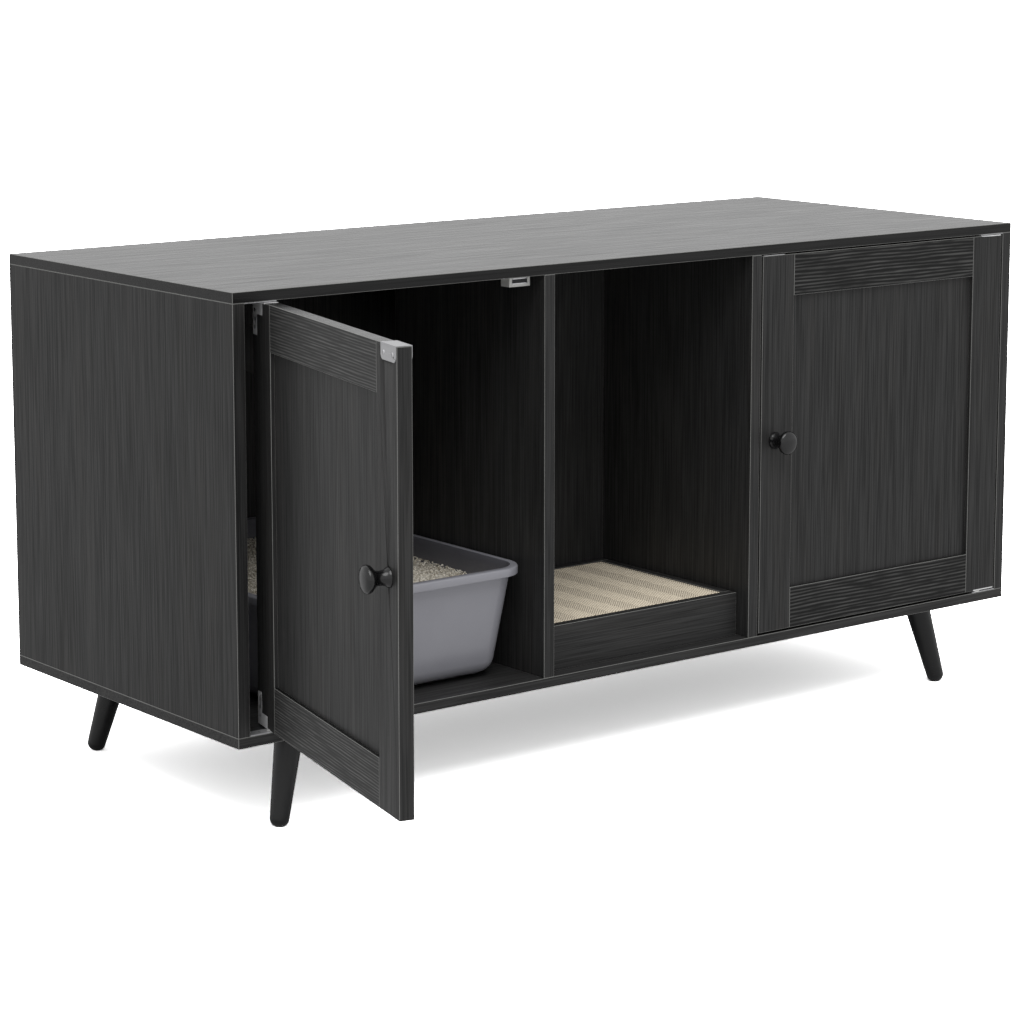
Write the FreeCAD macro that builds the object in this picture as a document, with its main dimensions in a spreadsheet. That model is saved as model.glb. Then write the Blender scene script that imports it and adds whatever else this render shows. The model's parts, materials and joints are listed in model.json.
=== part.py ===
import FreeCAD, Part
import math
import os
import re
import Sketcher

# Litter box cabinet, in millimetres. +Z is up and +Y runs from the front to the rear.
# The origin is on the floor, under the middle of the carcass. The left door stands open.

V = FreeCAD.Vector

# Each size that can be chosen by itself: its name, its value and what it measures. An angle has its unit.
SIZES = [
    ("cabinet_width", 1200, "carcass, left to right"),
    ("body_depth", 480, "carcass, front to rear"),
    ("body_height", 496, "carcass without its legs"),
    ("leg_height", 110, "floor to underside of carcass"),
    ("end_board", 12, "thickness of the top and bottom panels"),
    ("side_board", 15, "thickness of the side panels"),
    ("divider_board", 15, "thickness of the dividers"),
    ("middle_bay", 307, "clear width of the bay between the dividers"),
    ("centre_back_setback", 278, "front plane to the centre back panel"),
    ("centre_back_board", 12, "thickness of the centre back panel"),
    ("back_board", 5, "thickness of the back panel"),
    ("back_inset", 8, "back panel to the rear edges"),
    ("groove_depth", 5, "how deep the back panel sits in its grooves"),
    ("groove_play", 0.2, "play of a thin panel in its groove"),
    ("doorway_width", 190, "doorway in the centre back panel"),
    ("doorway_height", 230, "sill to the crown of the doorway"),
    ("doorway_sill", 80, "bay floor to the doorway's sill"),
    ("doorway_margin", 18, "left divider to the doorway"),
    ("doorway_corner", 40, "corner radius of the doorway"),
    ("dowel_radius", 4, "wooden dowel"),
    ("dowel_length", 30, "wooden dowel"),
    ("fastener_bite", 8, "how far dowels and bolts enter the end panels"),
    ("bolt_radius", 3, "cam bolt"),
    ("cam_reach", 24, "board's end to the middle of its cam lock"),
    ("cam_radius", 7.4, "cam lock"),
    ("cam_depth", 11, "cam lock"),
    ("cap_radius", 9, "cover cap over a cam lock"),
    ("cap_thickness", 0.8, "cover cap over a cam lock"),
    ("hole_play", 0.1, "radial play of a dowel, bolt or cam"),
    ("joint_inset", 60, "board's edge to its first bolt"),
    ("dowel_offset", 32, "bolt to the dowel beside it"),
    ("leg_top_radius", 16.5, "leg under its plate"),
    ("leg_foot_radius", 10.5, "leg at its rounded foot"),
    ("leg_splay", "16 deg", "lean of a leg from upright"),
    ("leg_side_inset", 104, "carcass side to the middle of a leg's plate"),
    ("leg_edge_inset", 56, "front or rear edge to the middle of a leg's plate"),
    ("foot_flat", 0.6, "how much of the rounded foot is worn flat"),
    ("plate_side", 66, "square leg plate"),
    ("plate_thickness", 2.5, "leg plate"),
    ("plate_corner", 8, "corner radius of a leg plate"),
    ("plate_screw_spread", 24, "leg plate's middle to its screws"),
    ("hanger_radius", 4, "bolt that holds a leg"),
    ("hanger_length", 38, "bolt that holds a leg"),
    ("board_screw_radius", 1.8, "wood screw shank"),
    ("board_screw_head", 3.4, "wood screw head radius"),
    ("board_screw_length", 10, "wood screw in an end panel"),
    ("board_screw_rise", 1.2, "height of a wood screw's head"),
    ("door_thickness", 16, "door frame"),
    ("door_side_gap", 2.5, "door's upright edges to the boards"),
    ("door_top_gap", 2, "door to the top panel"),
    ("door_bottom_gap", 3, "door to the bottom panel"),
    ("stile_width", 52, "upright member of a door frame"),
    ("rail_width", 51, "level member of a door frame"),
    ("panel_recess", 5, "door panel below the frame's faces"),
    ("tongue", 8, "depth of the groove round a door frame"),
    ("tongue_play", 0.5, "end play of a tongue or panel in its groove"),
    ("pivot_inset", 28.5, "door's hinge edge to its pivot"),
    ("pivot_depth", 5, "door's outer face to its pivot"),
    ("left_door_open", "103.6 deg", "how far the left door stands open"),
    ("pin_radius", 2.5, "pivot pin"),
    ("pin_length", 9, "pivot pin beyond its bracket"),
    ("pin_play", 0.2, "radial play round a pivot pin"),
    ("bracket_length", 41, "pivot bracket, along the door"),
    ("bracket_width", 14, "pivot bracket, front to rear"),
    ("bracket_thickness", 1.2, "pivot bracket"),
    ("bracket_setback", 0.5, "front plane to a pivot bracket"),
    ("washer_radius", 5.5, "bearing washer on the lower pivot"),
    ("washer_thickness", 1.2, "bearing washer on the lower pivot"),
    ("hinge_plate_reach", 9, "hinge plate past the pivot"),
    ("hinge_plate_thickness", 1.2, "hinge plate let into the door"),
    ("hinge_leg_length", 37, "upright leg of a hinge plate"),
    ("hinge_leg_width", 12, "upright leg of a hinge plate"),
    ("hinge_flag_length", 14, "flag at the end of the upright leg"),
    ("hinge_flag_width", 17, "flag at the end of the upright leg"),
    ("hinge_screw_radius", 1.1, "hinge screw shank"),
    ("hinge_screw_length", 9, "hinge screw"),
    ("knob_inset", 23, "door's free edge to the middle of the knob"),
    ("knob_height", 242, "bay floor to the middle of the knobs"),
    ("knob_base_radius", 10.5, "knob where it meets the door"),
    ("knob_neck_radius", 7.5, "knob at its waist"),
    ("knob_head_radius", 14.5, "knob at its head"),
    ("knob_projection", 29, "knob in front of the door"),
    ("knob_dome", 3.5, "crown of the knob's head"),
    ("knob_rim", 3, "straight edge of the knob's head"),
    ("knob_screw_radius", 2, "knob screw"),
    ("knob_screw_bite", 13, "knob screw in the knob"),
    ("knob_screw_head", 4.7, "knob screw head radius"),
    ("knob_screw_rise", 2.4, "height of the knob screw's head"),
    ("strike_width", 38, "strike plate of the magnetic catch"),
    ("strike_outer_leg", 16, "strike plate on the outer face"),
    ("strike_inner_leg", 15, "strike plate on the inner face"),
    ("strike_thickness", 0.8, "strike plate"),
    ("strike_screw_spread", 11, "strike plate's middle to its screws"),
    ("strike_screw_drop", 8.5, "door's top edge to the strike's screws"),
    ("strike_screw_head", 2.6, "strike screw head radius"),
    ("catch_inset", 22.5, "divider to the middle of its catch"),
    ("catch_width", 30, "housing of a magnetic catch"),
    ("catch_depth", 15.5, "housing of a magnetic catch"),
    ("catch_height", 13, "housing of a magnetic catch"),
    ("catch_gap", 0.4, "strike plate to the catch's pole plates"),
    ("catch_ear", 6, "screw ear beside the housing"),
    ("catch_ear_thickness", 2.5, "screw ear beside the housing"),
    ("catch_wall", 2, "wall of the catch's housing"),
    ("pole_thickness", 1.2, "steel plate beside a magnet"),
    ("pole_proud", 0.6, "pole plates in front of the housing"),
    ("magnet_thickness", 4.5, "ferrite magnet"),
    ("pan_width", 346, "litter pan over its rim"),
    ("pan_height", 132, "litter pan, feet to rim"),
    ("pan_left_clearance", 57.5, "left side panel to the pan's rim"),
    ("pan_right_clearance", 4, "pan's rim to the left divider"),
    ("pan_setback", 18, "front plane to the pan's rim"),
    ("pan_rear_clearance", 7, "pan's rim to the back panel"),
    ("pan_corner", 40, "corner radius of the rim"),
    ("pan_rim_height", 10, "depth of the turned rim"),
    ("pan_rim_overhang", 8, "rim beyond the wall below it"),
    ("pan_taper", 20, "how much each wall leans in"),
    ("pan_wall", 2.6, "wall of the litter pan"),
    ("pan_bottom_round", 16, "round edge of the pan's bottom"),
    ("pan_foot_height", 3, "small foot under the pan"),
    ("pan_foot_radius", 8, "small foot under the pan"),
    ("pan_foot_spread", 0.33, "feet from the pan's middle, of its size"),
    ("litter_clearance", 0.4, "litter to the pan's walls"),
    ("litter_edge", 100, "depth of the litter at the walls"),
    ("litter_crown", 16, "heap of the litter above its edge"),
    ("slide_play", 0.3, "what slides, above the board under it"),
    ("tray_side_play", 2, "tray to the dividers"),
    ("tray_setback", 20, "front plane to the tray"),
    ("tray_rear_play", 2, "tray to the centre back panel"),
    ("tray_height", 54, "tray boards"),
    ("tray_board", 12, "thickness of the tray boards"),
    ("tray_base_board", 5, "thickness of the tray's base"),
    ("tray_ledge", 8, "ledge that carries the scratching mat"),
    ("mat_thickness", 8, "woven scratching mat"),
    ("mat_board_thickness", 9, "board under the scratching mat"),
    ("mat_play", 1, "mat to the tray boards"),
    ("nail_radius", 1, "nail through the back panel"),
    ("nail_length", 22, "nail through the back panel"),
    ("nail_spacing", 140, "nails through the back panel"),
]

# Places and spans that follow from the sizes.
PLACES = {
    "front": "-body_depth / 2",
    "rear": "body_depth / 2",
    "bay_floor": "leg_height + end_board",
    "bay_ceiling": "leg_height + body_height - end_board",
    "bay_height": "body_height - 2 * end_board",
    "carcass_left": "-cabinet_width / 2",
    "left_inner": "side_board - cabinet_width / 2",
    "left_bay": "pan_left_clearance + pan_width + pan_right_clearance",
    "left_divider_left": "left_inner + left_bay",
    "middle_left": "left_divider_left + divider_board",
    "right_divider_left": "middle_left + middle_bay",
    "right_bay_left": "right_divider_left + divider_board",
    "right_inner": "cabinet_width / 2 - side_board",
    "back_front": "rear - back_inset - back_board",
    "centre_back_front": "front + centre_back_setback",
    "left_divider_depth": "centre_back_setback + centre_back_board",
    "right_divider_depth": "body_depth - back_inset - back_board",
    "door_height": "bay_height - door_top_gap - door_bottom_gap",
    "door_bottom": "bay_floor + door_bottom_gap",
    "left_door_width": "left_bay - 2 * door_side_gap",
    "right_door_width": "right_inner - right_bay_left - 2 * door_side_gap",
    "left_pivot": "left_inner + door_side_gap + pivot_inset",
    "right_pivot": "right_inner - door_side_gap - pivot_inset",
    "pivot_line": "front + pivot_depth",
    "hinge_edge": "-pivot_inset",
    "outer_face": "-pivot_depth",
    "inner_face": "door_thickness - pivot_depth",
    "panel_thickness": "door_thickness - 2 * panel_recess",
    "panel_outer": "outer_face + panel_recess",
    "knob_rise": "knob_height - door_bottom_gap",
    "leg_spread_x": "cabinet_width / 2 - leg_side_inset",
    "leg_spread_y": "body_depth / 2 - leg_edge_inset",
    "plate_underside": "leg_height - plate_thickness",
    "tray_left_edge": "middle_left + tray_side_play",
    "tray_width": "middle_bay - 2 * tray_side_play",
    "tray_front_edge": "front + tray_setback",
    "tray_depth": "centre_back_setback - tray_setback - tray_rear_play",
    "tray_floor": "bay_floor + slide_play",
    "ledge_top": "tray_height - mat_thickness - mat_board_thickness - slide_play",
    "catch_front": "front + door_thickness + strike_thickness + catch_gap + pole_proud",
    "pan_length": "back_front - front - pan_setback - pan_rear_clearance",
}

doc = FreeCAD.newDocument("litter_box_cabinet")
sheet = doc.addObject("Spreadsheet::Sheet", "Sizes")
NODES = []


def fill_sheet():
    """One row for each size: its name, its value under that alias, and what it measures."""
    for row, (name, amount, meaning) in enumerate(SIZES, 1):
        sheet.set(f"A{row}", name)
        sheet.set(f"B{row}", str(amount))
        sheet.set(f"C{row}", meaning)
        sheet.setAlias(f"B{row}", name)
    doc.recompute()


def size(name):
    """The value that the sheet holds under a name."""
    return float(sheet.get(name))


def formula(words):
    """A formula in plain names, with each place written out and each size turned into its cell."""
    names = {name for name, _, _ in SIZES}

    def swap(match):
        word = match.group(0)
        if word in PLACES:
            return f"({formula(PLACES[word])})"
        return f"Sizes.{word}" if word in names else word

    return re.sub(r"[a-z][a-z_]*", swap, words)


def bind(thing, **formulas):
    """Ties properties of an object to formulas; two underscores in a name stand for a dot."""
    for path, words in formulas.items():
        thing.setExpression(path.replace("__", "."), formula(str(words)))


def locate(thing, x, y, z):
    bind(thing, Placement__Base__x=x, Placement__Base__y=y, Placement__Base__z=z)


def box(name, corner, lengths):
    """A block from its lowest corner and its three lengths."""
    block = doc.addObject("Part::Box", name)
    bind(block, Length=lengths[0], Width=lengths[1], Height=lengths[2])
    locate(block, *corner)
    return block


TURNS = {
    "+x": FreeCAD.Rotation(V(0, 1, 0), 90),
    "-x": FreeCAD.Rotation(V(0, 1, 0), -90),
    "+y": FreeCAD.Rotation(V(1, 0, 0), -90),
    "-y": FreeCAD.Rotation(V(1, 0, 0), 90),
    "+z": FreeCAD.Rotation(),
    "-z": FreeCAD.Rotation(V(1, 0, 0), 180),
}


def rod(name, start, radius, length, towards="+z"):
    """A round bar from the middle of its first end, running towards an axis."""
    bar = doc.addObject("Part::Cylinder", name)
    bar.Placement.Rotation = TURNS[towards]
    bind(bar, Radius=radius, Height=length)
    locate(bar, *start)
    return bar


def screw(name, seat, head_radius, rise, shank_radius, length, towards):
    """A screw whose head's underside is at the seat: its shank runs towards an axis, its head away."""
    away = {"+": "-", "-": "+"}[towards[0]] + towards[1]
    shank = rod(name + "_shank", seat, shank_radius, length, towards)
    head = rod(name + "_head", seat, head_radius, rise, away)
    return fuse(name, [shank, head])


def fuse(name, pieces):
    joined = doc.addObject("Part::MultiFuse", name)
    joined.Shapes = pieces
    return joined


def gather(name, pieces):
    """Separate solids kept as one group."""
    group = doc.addObject("Part::Compound", name)
    group.Links = pieces
    return group


def cut(name, blank, tools):
    """A blank less its holes, grooves and seats."""
    piece = doc.addObject("Part::Cut", name)
    piece.Base = blank
    piece.Tool = tools[0] if len(tools) == 1 else gather(name + "_cuts", tools)
    return piece


def node(label, piece):
    """Keeps a finished piece under its own name."""
    piece.Label = label
    NODES.append(piece)
    return piece


def origin_plane(body, role):
    return [plane for plane in body.Origin.OriginFeatures if plane.Role == role][0]


def sketch_on(body, name, role="XY_Plane", level="0"):
    """A sketch on one of the body's own planes, raised along that plane's normal."""
    sketch = body.newObject("Sketcher::SketchObject", name)
    sketch.AttachmentSupport = [(origin_plane(body, role), "")]
    sketch.MapMode = "FlatFace"
    bind(sketch, AttachmentOffset__Base__z=level)
    return sketch


def outline(sketch, corners):
    """A closed outline of straight lines, each corner tied to its two formulas."""
    guesses = [V(math.cos(turn), math.sin(turn), 0) * 50
               for turn in (2 * math.pi * i / len(corners) for i in range(len(corners)))]
    first = sketch.GeometryCount
    for i, start in enumerate(guesses):
        sketch.addGeometry(Part.LineSegment(start, guesses[(i + 1) % len(guesses)]), False)
    for i in range(len(corners)):
        following = first + (i + 1) % len(corners)
        sketch.addConstraint(Sketcher.Constraint("Coincident", first + i, 2, following, 1))
    for i, (across, up) in enumerate(corners):
        for kind, words, guess in (("DistanceX", across, guesses[i].x), ("DistanceY", up, guesses[i].y)):
            index = sketch.addConstraint(Sketcher.Constraint(kind, -1, 1, first + i, 1, guess))
            sketch.setExpression(f"Constraints[{index}]", formula(words))


def corners_of(left, low, right, high):
    return [(left, low), (right, low), (right, high), (left, high)]


def pad(body, name, corners, length, role="XY_Plane", level="0"):
    """An outline pushed along its plane's normal."""
    sketch = sketch_on(body, name + "_outline", role, level)
    outline(sketch, corners)
    feature = body.newObject("PartDesign::Pad", name)
    feature.Profile = sketch
    bind(feature, Length=length)
    return feature


def new_body(name):
    return doc.addObject("PartDesign::Body", name)


def edges_along(shape, direction):
    """Names of the straight edges that run along a direction."""
    names = []
    for i, edge in enumerate(shape.Edges, 1):
        if isinstance(edge.Curve, Part.Line):
            if abs(edge.tangentAt(edge.FirstParameter).dot(direction)) > 0.999:
                names.append(f"Edge{i}")
    return names


def round_edges(body, name, direction, radius):
    """Rounds the straight edges of a body that run along a direction."""
    doc.recompute()
    base = body.Tip
    names = edges_along(base.Shape, direction)
    rounding = body.newObject("PartDesign::Fillet", name)
    rounding.Base = (base, names)
    bind(rounding, Radius=radius)
    return rounding


# ---------------------------------------------------------------- carcass joinery

# Each upright board: its left face, thickness, depth and the side that its cam locks face.
UPRIGHTS = {
    "left_side_panel": ("carcass_left", "side_board", "body_depth", 1),
    "left_divider": ("left_divider_left", "divider_board", "left_divider_depth", 1),
    "right_divider": ("right_divider_left", "divider_board", "right_divider_depth", 1),
    "right_side_panel": ("right_inner", "side_board", "body_depth", -1),
}


def end_joint(board, end, row):
    """The dowel, cam bolt, cam lock and cap at one end of an upright, and the holes they need."""
    left, thickness, depth, facing = UPRIGHTS[board]
    name = f"{board}_{end}_{row}"
    middle = f"{left} + {thickness} / 2"
    bolt_line = "front + joint_inset" if row == "fore" else f"front + {depth} - joint_inset"
    dowel_line = f"{bolt_line} + dowel_offset" if row == "fore" else f"{bolt_line} - dowel_offset"
    if end == "lower":
        start, heading, cam_level = "bay_floor - fastener_bite", "+z", "bay_floor + cam_reach"
    else:
        start, heading, cam_level = "bay_ceiling + fastener_bite", "-z", "bay_ceiling - cam_reach"
    face = f"{left} + {thickness}" if facing > 0 else left
    inward, outward = ("-x", "+x") if facing > 0 else ("+x", "-x")
    bolt_length = "fastener_bite + cam_reach"
    dowel = rod(name + "_dowel", (middle, dowel_line, start), "dowel_radius", "dowel_length", heading)
    dowel_hole = rod(name + "_dowel_hole", (middle, dowel_line, start),
                     "dowel_radius + hole_play", "dowel_length + hole_play", heading)
    bolt = rod(name + "_bolt", (middle, bolt_line, start), "bolt_radius", bolt_length, heading)
    bolt_hole = rod(name + "_bolt_hole", (middle, bolt_line, start),
                    "bolt_radius + hole_play", bolt_length, heading)
    cam_blank = rod(name + "_cam_blank", (face, bolt_line, cam_level), "cam_radius", "cam_depth", inward)
    cam_hole = rod(name + "_cam_hole", (face, bolt_line, cam_level),
                   "cam_radius + hole_play", "cam_depth + hole_play", inward)
    cam = cut(name + "_cam", cam_blank, [bolt_hole])
    cap = rod(name + "_cap", (face, bolt_line, cam_level), "cap_radius", "cap_thickness", outward)
    pieces = {"dowels": dowel, "cam_bolts": bolt, "cam_locks": cam, "cam_caps": cap}
    return pieces, [dowel_hole, bolt_hole], [cam_hole]


def carcass_joints():
    """All the end joints: the groups of fasteners, and the holes for each board."""
    groups = {"dowels": [], "cam_bolts": [], "cam_locks": [], "cam_caps": []}
    holes = {board: [] for board in UPRIGHTS}
    holes["bottom_panel"] = []
    holes["top_panel"] = []
    for board in UPRIGHTS:
        for end, panel in (("lower", "bottom_panel"), ("upper", "top_panel")):
            for row in ("fore", "aft"):
                pieces, shared, own = end_joint(board, end, row)
                for kind, piece in pieces.items():
                    groups[kind].append(piece)
                holes[board] += shared + own
                holes[panel] += shared
    return groups, holes


def centre_back_dowels(holes):
    """Level dowels that hold the centre back panel between the dividers."""
    dowels = []
    line = "centre_back_front + centre_back_board / 2"
    for side, start, heading, board in (
        ("left", "middle_left - fastener_bite", "+x", "left_divider"),
        ("right", "right_divider_left + fastener_bite", "-x", "right_divider"),
    ):
        for level, height in (("low", "bay_floor + joint_inset"), ("high", "bay_ceiling - joint_inset")):
            name = f"centre_back_{side}_{level}_dowel"
            reach = "2 * fastener_bite"
            dowels.append(rod(name, (start, line, height), "dowel_radius", reach, heading))
            hole = rod(name + "_hole", (start, line, height), "dowel_radius + hole_play", reach, heading)
            holes[board].append(hole)
            holes["centre_back_panel"].append(hole)
    return dowels


def doorway_cutter():
    """The doorway: a block through the centre back panel with round corners."""
    body = new_body("doorway")
    left = "middle_left + doorway_margin"
    low = "bay_floor + doorway_sill"
    pad(body, "doorway_block",
        corners_of(left, low, f"{left} + doorway_width", f"{low} + doorway_height"),
        "3 * centre_back_board", "XZ_Plane", "-centre_back_front - 2 * centre_back_board")
    round_edges(body, "doorway_corners", V(0, 1, 0), "doorway_corner")
    return body


def nails(holes):
    """Nails through the back panel into the right divider."""
    pieces = []
    line = "right_divider_left + divider_board / 2"
    for i in (-1, 0, 1):
        height = f"bay_floor + bay_height / 2 + {i} * nail_spacing"
        nail = rod(f"nail_{i + 2}", (line, "back_front + back_board", height),
                   "nail_radius", "nail_length", "-y")
        pieces.append(nail)
        holes["back_panel"].append(nail)
        holes["right_divider"].append(nail)
    return pieces


def back_groove():
    """The groove for the back panel, cut round the sides and both end panels."""
    reach = "2 * groove_depth"
    return box("back_groove",
               ("left_inner - groove_depth", "back_front - groove_play / 2", "bay_floor - groove_depth"),
               (f"right_inner - left_inner + {reach}", "back_board + groove_play", f"bay_height + {reach}"))


def back_panel_blank():
    """The back panel, a little smaller than its grooves."""
    trim = "groove_depth - groove_play"
    return box("back_panel_blank",
               (f"left_inner - ({trim})", "back_front", f"bay_floor - ({trim})"),
               (f"right_inner - left_inner + 2 * ({trim})", "back_board", f"bay_height + 2 * ({trim})"))


# ---------------------------------------------------------------- legs

# Each leg: its name and the directions in which it leans out from the carcass's middle.
LEGS = {
    "front_left_leg": (-1, -1),
    "front_right_leg": (1, -1),
    "back_left_leg": (-1, 1),
    "back_right_leg": (1, 1),
}
LEAN_ACROSS = 0.87
LEAN_ALONG = 0.5


def leg_turn(thing, across, along):
    """Leans a piece that hangs down from the plate, its foot away from the carcass's middle."""
    thing.Placement.Rotation = FreeCAD.Rotation(V(along * LEAN_ALONG, -across * LEAN_ACROSS, 0), 1)
    bind(thing, Placement__Rotation__Angle="leg_splay")


def leg_body(name):
    """A turned leg, upright, its top above the plate's underside and its foot rounded."""
    body = new_body(name + "_turning")
    slant = "(plate_underside / cos(leg_splay))"
    sketch = sketch_on(body, name + "_section", "XZ_Plane")
    outline(sketch, [("0", f"-{slant} - foot_flat"),
                     ("leg_foot_radius", f"-{slant} - foot_flat"),
                     ("leg_top_radius", "0"),
                     ("leg_top_radius", "2 * leg_top_radius"),
                     ("0", "2 * leg_top_radius")])
    turning = body.newObject("PartDesign::Revolution", name + "_turned")
    turning.Profile = sketch
    turning.ReferenceAxis = (sketch, ["V_Axis"])
    turning.Angle = 360
    doc.recompute()
    foot_edges = [f"Edge{i}" for i, edge in enumerate(turning.Shape.Edges, 1)
                  if isinstance(edge.Curve, Part.Circle)
                  and edge.CenterOfMass.z < -size("leg_height") / 2]
    rounding = body.newObject("PartDesign::Fillet", name + "_foot")
    rounding.Base = (turning, foot_edges)
    bind(rounding, Radius="leg_foot_radius * 0.92")
    return body


def make_leg(name, across, along):
    """A leg cut level at its plate and at the floor, with the bolt that holds it."""
    x = f"{across} * leg_spread_x"
    y = f"{along} * leg_spread_y"
    turned = leg_body(name)
    leg_turn(turned, across, along)
    locate(turned, x, y, "plate_underside")
    space = box(name + "_space", (f"{x} - plate_side", f"{y} - plate_side", "0"),
                ("2 * plate_side", "2 * plate_side", "plate_underside"))
    level = doc.addObject("Part::Common", name + "_level")
    level.Base = turned
    level.Tool = space
    bolt = rod(name + "_bolt", (x, y, "plate_underside"), "hanger_radius", "hanger_length", "-z")
    bolt_hole = rod(name + "_bolt_hole", (x, y, "plate_underside"),
                    "hanger_radius + hole_play", "hanger_length + hole_play", "-z")
    node(name, cut(name, level, [bolt_hole]))
    return bolt


def make_plate(name, across, along):
    """The steel plate over a leg, and its four screws."""
    x = f"{across} * leg_spread_x"
    y = f"{along} * leg_spread_y"
    body = new_body(name + "_plate_body")
    half = "plate_side / 2"
    pad(body, name + "_plate_pad", corners_of(f"-{half}", f"-{half}", half, half), "plate_thickness")
    round_edges(body, name + "_plate_corners", V(0, 0, 1), "plate_corner")
    locate(body, x, y, "plate_underside")
    screws = []
    for right in (-1, 1):
        for back in (-1, 1):
            place = (f"{x} + {right} * plate_screw_spread", f"{y} + {back} * plate_screw_spread",
                     "plate_underside")
            screws.append(screw(f"{name}_plate_screw_{right + 1}_{back + 1}", place, "board_screw_head",
                                "board_screw_rise", "board_screw_radius", "board_screw_length", "+z"))
    return cut(name + "_plate", body, screws), screws


def make_legs(holes):
    """The four legs, their bolts, plates and screws."""
    bolts, plates, screws = [], [], []
    for name, (across, along) in LEGS.items():
        bolts.append(make_leg(name, across, along))
        plate, plate_screws = make_plate(name, across, along)
        plates.append(plate)
        screws += plate_screws
    holes["bottom_panel"] += screws
    node("leg_plates", gather("leg_plates", plates))
    node("leg_bolts", gather("leg_bolts", bolts))
    node("leg_plate_screws", gather("leg_plate_screws", screws))


# ---------------------------------------------------------------- pivots and catches

# Each door: its pivot's place, its width and which way it runs from its pivot.
DOORS = {
    "left_door": {"pivot": "left_pivot", "width": "left_door_width", "run": 1,
                  "jamb": "left_inner", "open": "-left_door_open"},
    "right_door": {"pivot": "right_pivot", "width": "right_door_width", "run": -1,
                   "jamb": "right_inner", "open": "0"},
}


def pivot_bracket(door, end, holes):
    """A flat bracket on an end panel with its pivot pin, and the two screws that hold it."""
    facts = DOORS[door]
    run = facts["run"]
    name = f"{door}_{end}_pivot_bracket"
    left = facts["jamb"] if run > 0 else f"{facts['jamb']} - bracket_length"
    line = "front + bracket_setback"
    if end == "upper":
        low = "bay_ceiling - bracket_thickness"
        seat, heading, into_board, panel = low, "-z", "+z", "top_panel"
    else:
        low = "bay_floor"
        seat, heading, into_board, panel = "bay_floor + bracket_thickness", "+z", "-z", "bottom_panel"
    strip = box(name + "_strip", (left, line, low), ("bracket_length", "bracket_width", "bracket_thickness"))
    pin = rod(name + "_pin", (facts["pivot"], "pivot_line", seat), "pin_radius", "pin_length", heading)
    joined = fuse(name + "_blank", [strip, pin])
    screws = []
    for step in (1, 2):
        place = (f"{facts['jamb']} + {run} * {step} * bracket_length / 5",
                 f"{line} + bracket_width / 2", seat)
        screws.append(rod(f"{name}_screw_{step}", place, "board_screw_radius",
                          "board_screw_length * 0.8", into_board))
    holes[panel] += screws
    node(name, cut(name, joined, screws))
    return screws


def make_pivots(holes):
    """The four pivot brackets, their screws, and the washers that carry the doors."""
    screws, washers = [], []
    for door, facts in DOORS.items():
        for end in ("upper", "lower"):
            screws += pivot_bracket(door, end, holes)
        place = (facts["pivot"], "pivot_line", "bay_floor + bracket_thickness")
        disc = rod(door + "_washer_disc", place, "washer_radius", "washer_thickness")
        hole = rod(door + "_washer_hole", place, "pin_radius + pin_play", "washer_thickness")
        washers.append(cut(door + "_washer", disc, [hole]))
    node("pivot_bracket_screws", gather("pivot_bracket_screws", screws))
    node("pivot_washers", gather("pivot_washers", washers))


def make_catch(door, middle, holes):
    """A magnetic catch under the top panel: its housing, magnet, two pole plates and two screws."""
    name = door + "_catch"
    top = "bay_ceiling"
    low = f"{top} - catch_height"
    pole_height = "catch_height - 2 * catch_wall"
    pole_low = f"{low} + catch_wall"
    block = box(name + "_block", (f"{middle} - catch_width / 2", "catch_front", low),
                ("catch_width", "catch_depth", "catch_height"))
    ear_low = f"{top} - catch_ear_thickness"
    ears = box(name + "_ears",
               (f"{middle} - catch_width / 2 - catch_ear", "catch_front + catch_wall", ear_low),
               ("catch_width + 2 * catch_ear", "catch_depth - 2 * catch_wall", "catch_ear_thickness"))
    core_width = "catch_width - 4 * catch_wall"
    core_depth = "catch_depth - catch_wall"
    stack = "magnet_thickness + 2 * pole_thickness"
    stack_low = f"{low} + (catch_height - ({stack})) / 2"
    core = f"{middle} - ({core_width}) / 2"
    pocket = box(name + "_pocket", (core, "catch_front", stack_low), (core_width, core_depth, stack))
    magnet = box(name + "_magnet", (core, "catch_front", f"{stack_low} + pole_thickness"),
                 (core_width, core_depth, "magnet_thickness"))
    poles = []
    upper_pole = f"{stack_low} + pole_thickness + magnet_thickness"
    for level, height in (("lower", stack_low), ("upper", upper_pole)):
        poles.append(box(f"{name}_{level}_pole", (core, "catch_front - pole_proud", height),
                         (core_width, f"{core_depth} + pole_proud", "pole_thickness")))
    screws = []
    for side in (-1, 1):
        place = (f"{middle} + {side} * (catch_width + catch_ear) / 2", "catch_front + catch_depth / 2",
                 ear_low)
        screws.append(screw(f"{name}_screw_{side + 1}", place, "catch_ear * 0.4", "board_screw_rise",
                            "hinge_screw_radius", "board_screw_length", "+z"))
    holes["top_panel"] += screws
    housing = fuse(name + "_shell", [block, ears])
    node(name + "_housing", cut(name + "_housing", housing, [pocket] + screws))
    return magnet, poles, screws


def make_catches(holes):
    magnets, poles, screws = [], [], []
    for door, middle in (("left_door", "left_divider_left - catch_inset"),
                         ("right_door", "right_bay_left + catch_inset")):
        magnet, pair, fixings = make_catch(door, middle, holes)
        magnets.append(magnet)
        poles += pair
        screws += fixings
    node("catch_magnets", gather("catch_magnets", magnets))
    node("catch_pole_plates", gather("catch_pole_plates", poles))
    node("catch_screws", gather("catch_screws", screws))


# ---------------------------------------------------------------- doors
# A door is built closed, in its own place: x runs from its pivot towards its free edge,
# y from its outer face to its inner face, z up from its bottom edge.


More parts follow.
